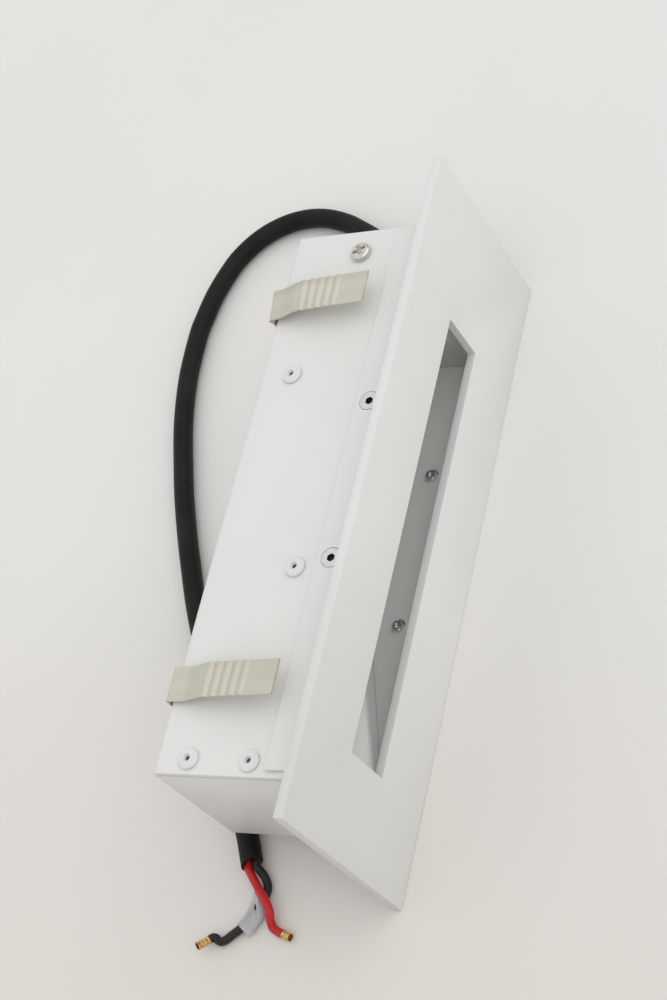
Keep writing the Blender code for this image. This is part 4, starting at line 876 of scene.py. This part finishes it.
pin = cone(rivet, 0.00078, 0.00070, PIN_LENGTH, PIN_FOOT)
drilled = cut(rivet, cut(rivet, united(rivet, rings), hole), mouth)
both = add_node(rivet, "GeometryNodeJoinGeometry")
for part in (coated(rivet, pin, mandrel_painted_shade), coated(rivet, drilled, rivet_white)):
    rivet.links.new(part, both.inputs["Geometry"])
set_on_points(rivet, rivet_in, rivet_out, both.outputs[0])
print("rivet tree", len(rivet.nodes), "nodes")

# %% Set the rivets
END_X, END_FRONT, END_BACK = -0.0932, 0.0213, 0.0427
STRAP_X, STRAP_Z = 0.0695, 0.0120
end_places = [((END_X, y, side * SHELL_TOP), (0, 0, side)) for side in (1, -1) for y in (END_FRONT, END_BACK)]
run_tree(
    "end_rivets", rivet, end_places,
    ["end_rivet_front_top", "end_rivet_back_top", "end_rivet_front_bottom", "end_rivet_back_bottom"],
    {"Stack": 0.0030},
)
carrier_places = [((-0.0294, 0.0224, SHELL_TOP), (0, 0, 1)), ((0.0419, 0.0423, SHELL_TOP), (0, 0, 1))]
run_tree(
    "carrier_rivets", rivet, carrier_places, ["carrier_rivet_near", "carrier_rivet_far"],
    {"Stack": 0.0038},
)
strap_places = [((x, STRAP_BACK, z), (0, 1, 0)) for x in (-STRAP_X, STRAP_X) for z in (STRAP_Z, -STRAP_Z)]
run_tree(
    "strap_rivets", rivet, strap_places,
    ["strap_rivet_near_upper", "strap_rivet_near_lower", "strap_rivet_far_upper", "strap_rivet_far_lower"],
    {"Stack": 0.0024},
)

# %% [markdown]
# ## Pan-head screws
#
# The far end cap is held by two pan-head screws with a cross recess. The head is a low dome of four
# rings, and the recess is a deep cross whose arms meet in a pointed pit. The cross stands at a
# slant, as the screw happened to stop. The screws inside the housing keep the frame's own shape.

# %% Build the pan-head screws
pan, pan_in, pan_out = new_tree(
    "pan_screw",
    {
        "Head radius": 0.0036, "Head height": 0.0019, "Shank radius": 0.0019, "Length": 0.0060,
        "Arm": 0.0048, "Width": 0.0013, "Depth": 0.0015, "Turn": 0.5,
    },
)
size = pan_in.outputs
head, high = size["Head radius"], size["Head height"]
PAN_LAYERS = [
    (1.0, 1.0, 0.0, 0.42), (1.0, 0.94, 0.42, 0.66), (0.94, 0.82, 0.66, 0.86), (0.82, 0.60, 0.86, 1.0),
]
OVERLAP = 0.002
parts = []
for low, top, start, stop in PAN_LAYERS:
    parts.append(cone(
        pan, times(pan, head, low), times(pan, head, top),
        times(pan, high, stop - start + OVERLAP), times(pan, high, start),
    ))
shank_length = plus(pan, size["Length"], 0.0005)
shank_base = times(pan, size["Length"], -1.0)
parts.append(cone(pan, size["Shank radius"], size["Shank radius"], shank_length, shank_base))
body = united(pan, parts)
for turned_arm in (False, True):
    arm = [size["Arm"], size["Width"]]
    if turned_arm:
        arm.reverse()
    deep = times(pan, size["Depth"], 2.0)
    box = add_node(pan, "ShaderNodeCombineXYZ", X=arm[0], Y=arm[1], Z=deep)
    cube = add_node(pan, "GeometryNodeMeshCube", Size=box.outputs[0])
    lean = add_node(pan, "ShaderNodeCombineXYZ", Z=size["Turn"])
    leaned = add_node(pan, "GeometryNodeTransform", Geometry=cube.outputs["Mesh"], Rotation=lean.outputs[0])
    body = cut(pan, body, moved(pan, leaned.outputs[0], high))
pit_base = minus(pan, high, times(pan, size["Depth"], 1.28))
pit = cone(pan, 0.0002, times(pan, size["Arm"], 0.30), times(pan, size["Depth"], 1.3), pit_base, sides=8)
body = moved(pan, cut(pan, body, pit), CLEAR)
set_on_points(pan, pan_in, pan_out, coated(pan, body, nickel))

cap_screw_places = [((0.0888, 0.02765, side * SHELL_TOP), (0, 0, side)) for side in (1, -1)]
run_tree(
    "cap_screws", pan, cap_screw_places, ["cap_screw_top", "cap_screw_bottom"], {"Length": 0.0061},
)
cover_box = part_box("cover_screw_near")
print("cover screw", [[round(v, 4) for v in c] for c in cover_box])

# %% [markdown]
# ## Countersunk screws
#
# Four socket screws join the flanges to the housing. The head is a cone that lies flush with the sheet, with
# a six-sided socket. The tips of the two lower ones come through the chamber's floor, and each tip has a
# small round cup. A cut takes on the finish of its tool, so the tool that cuts the socket is coated near
# black, as painted shade in the socket.

# %% Build the countersunk screws
sunk, sunk_in, sunk_out = new_tree(
    "sunk_screw",
    {
        "Head radius": 0.0033, "Head height": 0.0021, "Shank radius": 0.0020, "Length": 0.0070,
        "Across flats": 0.0025, "Socket depth": 0.0014,
    },
)
TIP_HEIGHT = 0.0003
SHANK_SHORT = 0.0012
CUP_RADIUS, CUP_FLOOR, CUP_DEPTH = 0.0014, 0.0002, 0.0012
size = sunk_in.outputs
low = times(sunk, size["Head height"], -1.0)
head = cone(sunk, size["Shank radius"], size["Head radius"], size["Head height"], low)
tail = times(sunk, size["Length"], -1.0)
shank_length, shank_base = minus(sunk, size["Length"], SHANK_SHORT), plus(sunk, tail, TIP_HEIGHT)
shank = cone(sunk, size["Shank radius"], size["Shank radius"], shank_length, shank_base)
tip_radius = minus(sunk, size["Shank radius"], TIP_HEIGHT)
tip = cone(sunk, tip_radius, size["Shank radius"], 0.00031, tail)
corner_radius = tree_math(sunk, "DIVIDE", size["Across flats"], math.sqrt(3))
socket_length, socket_base = times(sunk, size["Socket depth"], 2.0), times(sunk, size["Socket depth"], -1.0)
socket = cone(sunk, corner_radius, corner_radius, socket_length, socket_base, sides=6)
cup = cone(sunk, CUP_RADIUS, CUP_FLOOR, CUP_DEPTH, minus(sunk, tail, CUP_DEPTH / 2))
body = coated(sunk, united(sunk, [head, shank, tip]), bright_steel)
body = cut(sunk, cut(sunk, body, coated(sunk, socket, socket_painted_shade)), coated(sunk, cup, bright_steel))
set_on_points(sunk, sunk_in, sunk_out, body)

FLANGE_OUTSIDE = 0.0265
for level, side, length in (("top", 1, 0.0070), ("bottom", -1, 0.0060)):
    places = [((screw.x, screw.y, side * FLANGE_OUTSIDE), (0, 0, side)) for screw in SCREW_MIDDLES]
    run_tree(
        "flange_screws_" + level, sunk, places,
        ["flange_screw_" + level + "_near", "flange_screw_" + level + "_far"], {"Length": length},
    )

# %% [markdown]
# ## Spring leaves
#
# Each leaf is a strip of spring steel that bends away from the housing at its root, then lies
# back with five pressed ridges. The strip follows a line, so a tree makes it: the line is cut into
# short steps, the ridges lift it as a wave between two shares of its length, and a flat section
# is swept along it. The far leaves were bent a little askew, so one side of their root stands
# further back than the other. Each leaf moves with its own body.

# %% Build the spring leaves
leaf, leaf_in, leaf_out = new_tree(
    "spring_leaf",
    {
        "Width": 0.0120, "Thickness": 0.0006, "Ridges": 5.0, "Ridge height": 0.00044,
        "First": 0.36, "Last": 0.76, "Lift": 1.0,
    },
)
size = leaf_in.outputs
line = add_node(leaf, "GeometryNodeMeshToCurve", Mesh=size["Geometry"])
steps = add_node(leaf, "GeometryNodeResampleCurve", Curve=line.outputs[0], Count=200)
share = add_node(leaf, "GeometryNodeSplineParameter").outputs["Factor"]
ridge_share = minus(leaf, size["Last"], size["First"])
inside = tree_math(leaf, "DIVIDE", minus(leaf, share, size["First"]), ridge_share)
clamped = add_node(leaf, "ShaderNodeClamp", Value=inside).outputs[0]
angle = times(leaf, times(leaf, clamped, size["Ridges"]), 2 * math.pi)
wave = minus(leaf, 1.0, tree_math(leaf, "COSINE", angle, 0.0))
half_side = times(leaf, size["Lift"], 0.5)
lift = times(leaf, times(leaf, wave, size["Ridge height"]), half_side)
offset = add_node(leaf, "ShaderNodeCombineXYZ", Z=lift).outputs[0]
ridged = add_node(leaf, "GeometryNodeSetPosition", Geometry=steps.outputs[0], Offset=offset)
level_line = add_node(leaf, "GeometryNodeSetCurveNormal", {"mode": "Z_UP"}, Curve=ridged.outputs[0])
section = add_node(
    leaf, "GeometryNodeCurvePrimitiveQuadrilateral", Width=size["Width"], Height=size["Thickness"]
)
rounded = add_node(
    leaf, "GeometryNodeFilletCurve", {"mode": "POLY"}, Curve=section.outputs[0], Count=3, Radius=0.00012
)
strip = add_node(
    leaf, "GeometryNodeCurveToMesh", Curve=level_line.outputs[0], Profile_Curve=rounded.outputs[0],
    Fill_Caps=True,
)
solid = add_node(leaf, "GeometryNodeRealizeInstances", Geometry=strip.outputs[0])
leaf.links.new(coated(leaf, solid.outputs[0], spring_steel), leaf_out.inputs["Geometry"])
print("leaf tree", len(leaf.nodes), "nodes")

# %% Bend and place the leaves
PIVOT_Y, PIVOT_Z = 0.0556, 0.0252
ROOT_BEND = 0.0009
ROOT_RISE = 0.0005
CORNER_REACHES = (0.0016, 0.0014)
SKEW_RISE, SKEW_LENGTH = 0.0010, 0.030
LEAF_SHAPES = {
    "near": {
        "x": -0.0698, "width": 0.0114, "root": 0.0, "skew": 0.0,
        "bends": [(-0.0066, 0.0018), (-0.0141, 0.0051), (-0.0417, 0.0085)],
    },
    "far": {
        "x": 0.0695, "width": 0.0120, "root": 0.0013, "skew": 0.12,
        "bends": [(-0.0036, 0.0022), (-0.0103, 0.0052), (-0.0378, 0.0075)],
    },
}


def rounded_corner(before, corner, after, reach):
    """Replace a corner of a line with a short curve."""
    b, c, a = Vector(before), Vector(corner), Vector(after)
    start = c + (b - c).normalized() * reach
    stop = c + (a - c).normalized() * reach
    shares = [k / 6 for k in range(7)]
    return [tuple(start * (1 - t) ** 2 + c * 2 * t * (1 - t) + stop * t ** 2) for t in shares]


def leaf_outline(bends, root):
    """The leaf's middle line from its root: a tight bend, two soft bends and the free end."""
    first = bends[0]
    slope = math.atan2(first[1] - ROOT_RISE - ROOT_BEND, root - first[0] - ROOT_BEND)
    outline = [(0.0, 0.0)]
    for k in range(9):
        turn = (math.pi / 2 - slope) * k / 8
        outline.append((root + ROOT_BEND * (math.cos(turn) - 1), ROOT_RISE + ROOT_BEND * math.sin(turn)))
    outline += rounded_corner(outline[-1], bends[0], bends[1], CORNER_REACHES[0])
    outline += rounded_corner(*bends, CORNER_REACHES[1])
    outline.append(bends[2])
    return outline


def make_leaf(level, side, end, form):
    node = f"clip_leaf_{level}_{end}"
    outline = leaf_outline(form["bends"], form["root"])
    points = [(form["x"], PIVOT_Y + y, side * (PIVOT_Z + z)) for y, z in outline]
    middle_line = bpy.data.meshes.new(node + "_line")
    middle_line.from_pydata(points, [(k, k + 1) for k in range(len(points) - 1)], [])
    made = grown_mesh(node, middle_line, leaf, {"Lift": float(side), "Width": form["width"]})
    shape = bmesh.new()
    shape.from_mesh(made)
    for vertex in shape.verts:
        rise = min(1.0, max(0.0, (side * vertex.co.z - PIVOT_Z) / SKEW_RISE))
        rise *= max(0.0, 1.0 - (PIVOT_Y - vertex.co.y) / SKEW_LENGTH)
        vertex.co.y += form["skew"] * (vertex.co.x - form["x"]) * rise
    piece = finished_mesh(node + "_strip", shape, spring_steel, corner=50.0)
    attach(piece, f"leaf_{level}_{end}")
    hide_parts(node)
    return piece


for level, side in (("top", 1), ("bottom", -1)):
    for end, form in LEAF_SHAPES.items():
        piece = make_leaf(level, side, end, form)

# %% [markdown]
# ## Pieces that keep the frame's own shape
#
# The rest is right as it stands: straps, bush, nuts and all that sits inside the housing. Such a
# piece stays a frame piece, and only its finish is set.

# %% Give the other pieces their finishes
kept = {
    "clip_strap_near": spring_steel, "clip_strap_far": spring_steel, "strain_relief": jacket_black,
    "inner_cable": jacket_black, "cable_tie": tie_plastic, "cap_nut_top": zinc, "cap_nut_bottom": zinc,
    "led_carrier": aluminium, "thermal_pad": pad_grey, "led_board": board_white,
    "led_cover": clear_plastic, "cover_screw_near": nickel, "cover_screw_far": nickel,
    "terminal_block": grey_plastic, "block_screw": nickel, "tray_grommet": jacket_black,
    "feed_wire_red": wire_red_coat, "board_wire_red": wire_red_coat,
    "feed_wire_black": wire_black_coat, "board_wire_black": wire_black_coat,
}
for node, finish in kept.items():
    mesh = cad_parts[node].data
    if not mesh.materials:
        mesh.materials.append(finish)
    for k in range(len(mesh.materials)):
        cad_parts[node].material_slots[k].material = finish
print("kept pieces", len(kept))

# %% [markdown]
# ## The bench and the light
#
# The bench is a large pale sheet, with painted shade that makes it a little warmer and darker towards the
# riveted end. The light comes from all round, as in a white room, with two broad soft lamps: one high above,
# one lower in front of the plate. Each is a sun with a wide disc, which lights the whole bench evenly, as an
# area lamp close by would not, and leaves faint shadows.

# %% Lay the bench
BENCH_LEVEL = -0.0391
BENCH_HALF = 4.0
bench_mesh = bpy.data.meshes.new("bench")
bench_signs = ((-1, -1), (1, -1), (1, 1), (-1, 1))
bench_corners = [(x * BENCH_HALF, y * BENCH_HALF, BENCH_LEVEL) for x, y in bench_signs]
bench_mesh.from_pydata(bench_corners, [], [(0, 1, 2, 3)])
bench = bpy.data.objects.new("bench", bench_mesh)
scene.collection.objects.link(bench)
bench_paint = make_finish(
    "bench_paint", ((0.815, 0.805, 0.785), (0.835, 0.825, 0.805)), 5.0, (0.55, 0.70), 700.0, 0.000010
)
bench_mesh.materials.append(bench_paint)

# %% Paint shade on the bench, warmer and darker towards the riveted end
paint_shade_beyond(bench_paint, 0.02, -0.26, (0.86, 0.825, 0.785))
print("bench nodes", len(bench_paint.node_tree.nodes))

# %% Light the scene
world = bpy.data.worlds.new("room")
world.use_nodes = True
world.node_tree.nodes["Background"].inputs["Color"].default_value = (0.985, 0.99, 1.0, 1.0)
world.node_tree.nodes["Background"].inputs["Strength"].default_value = 0.45
scene.world = world


def soft_lamp(name, energy, width, direction, colour):
    """A sun with a wide disc; the direction is where it stands."""
    data = bpy.data.lights.new(name, "SUN")
    data.energy = energy
    data.angle = math.radians(width)
    data.color = colour
    lamp = bpy.data.objects.new(name, data)
    scene.collection.objects.link(lamp)
    lamp.rotation_euler = Vector(direction).to_track_quat("Z", "Y").to_euler()
    return lamp


soft_lamp("key_lamp", 1.05, 140.0, (0.04, 0.25, 1.0), (1.0, 0.985, 0.96))
soft_lamp("front_lamp", 0.87, 90.0, (0.12, -1.0, 0.85), (1.0, 0.99, 0.97))
print("lamps", len(bpy.data.lights))
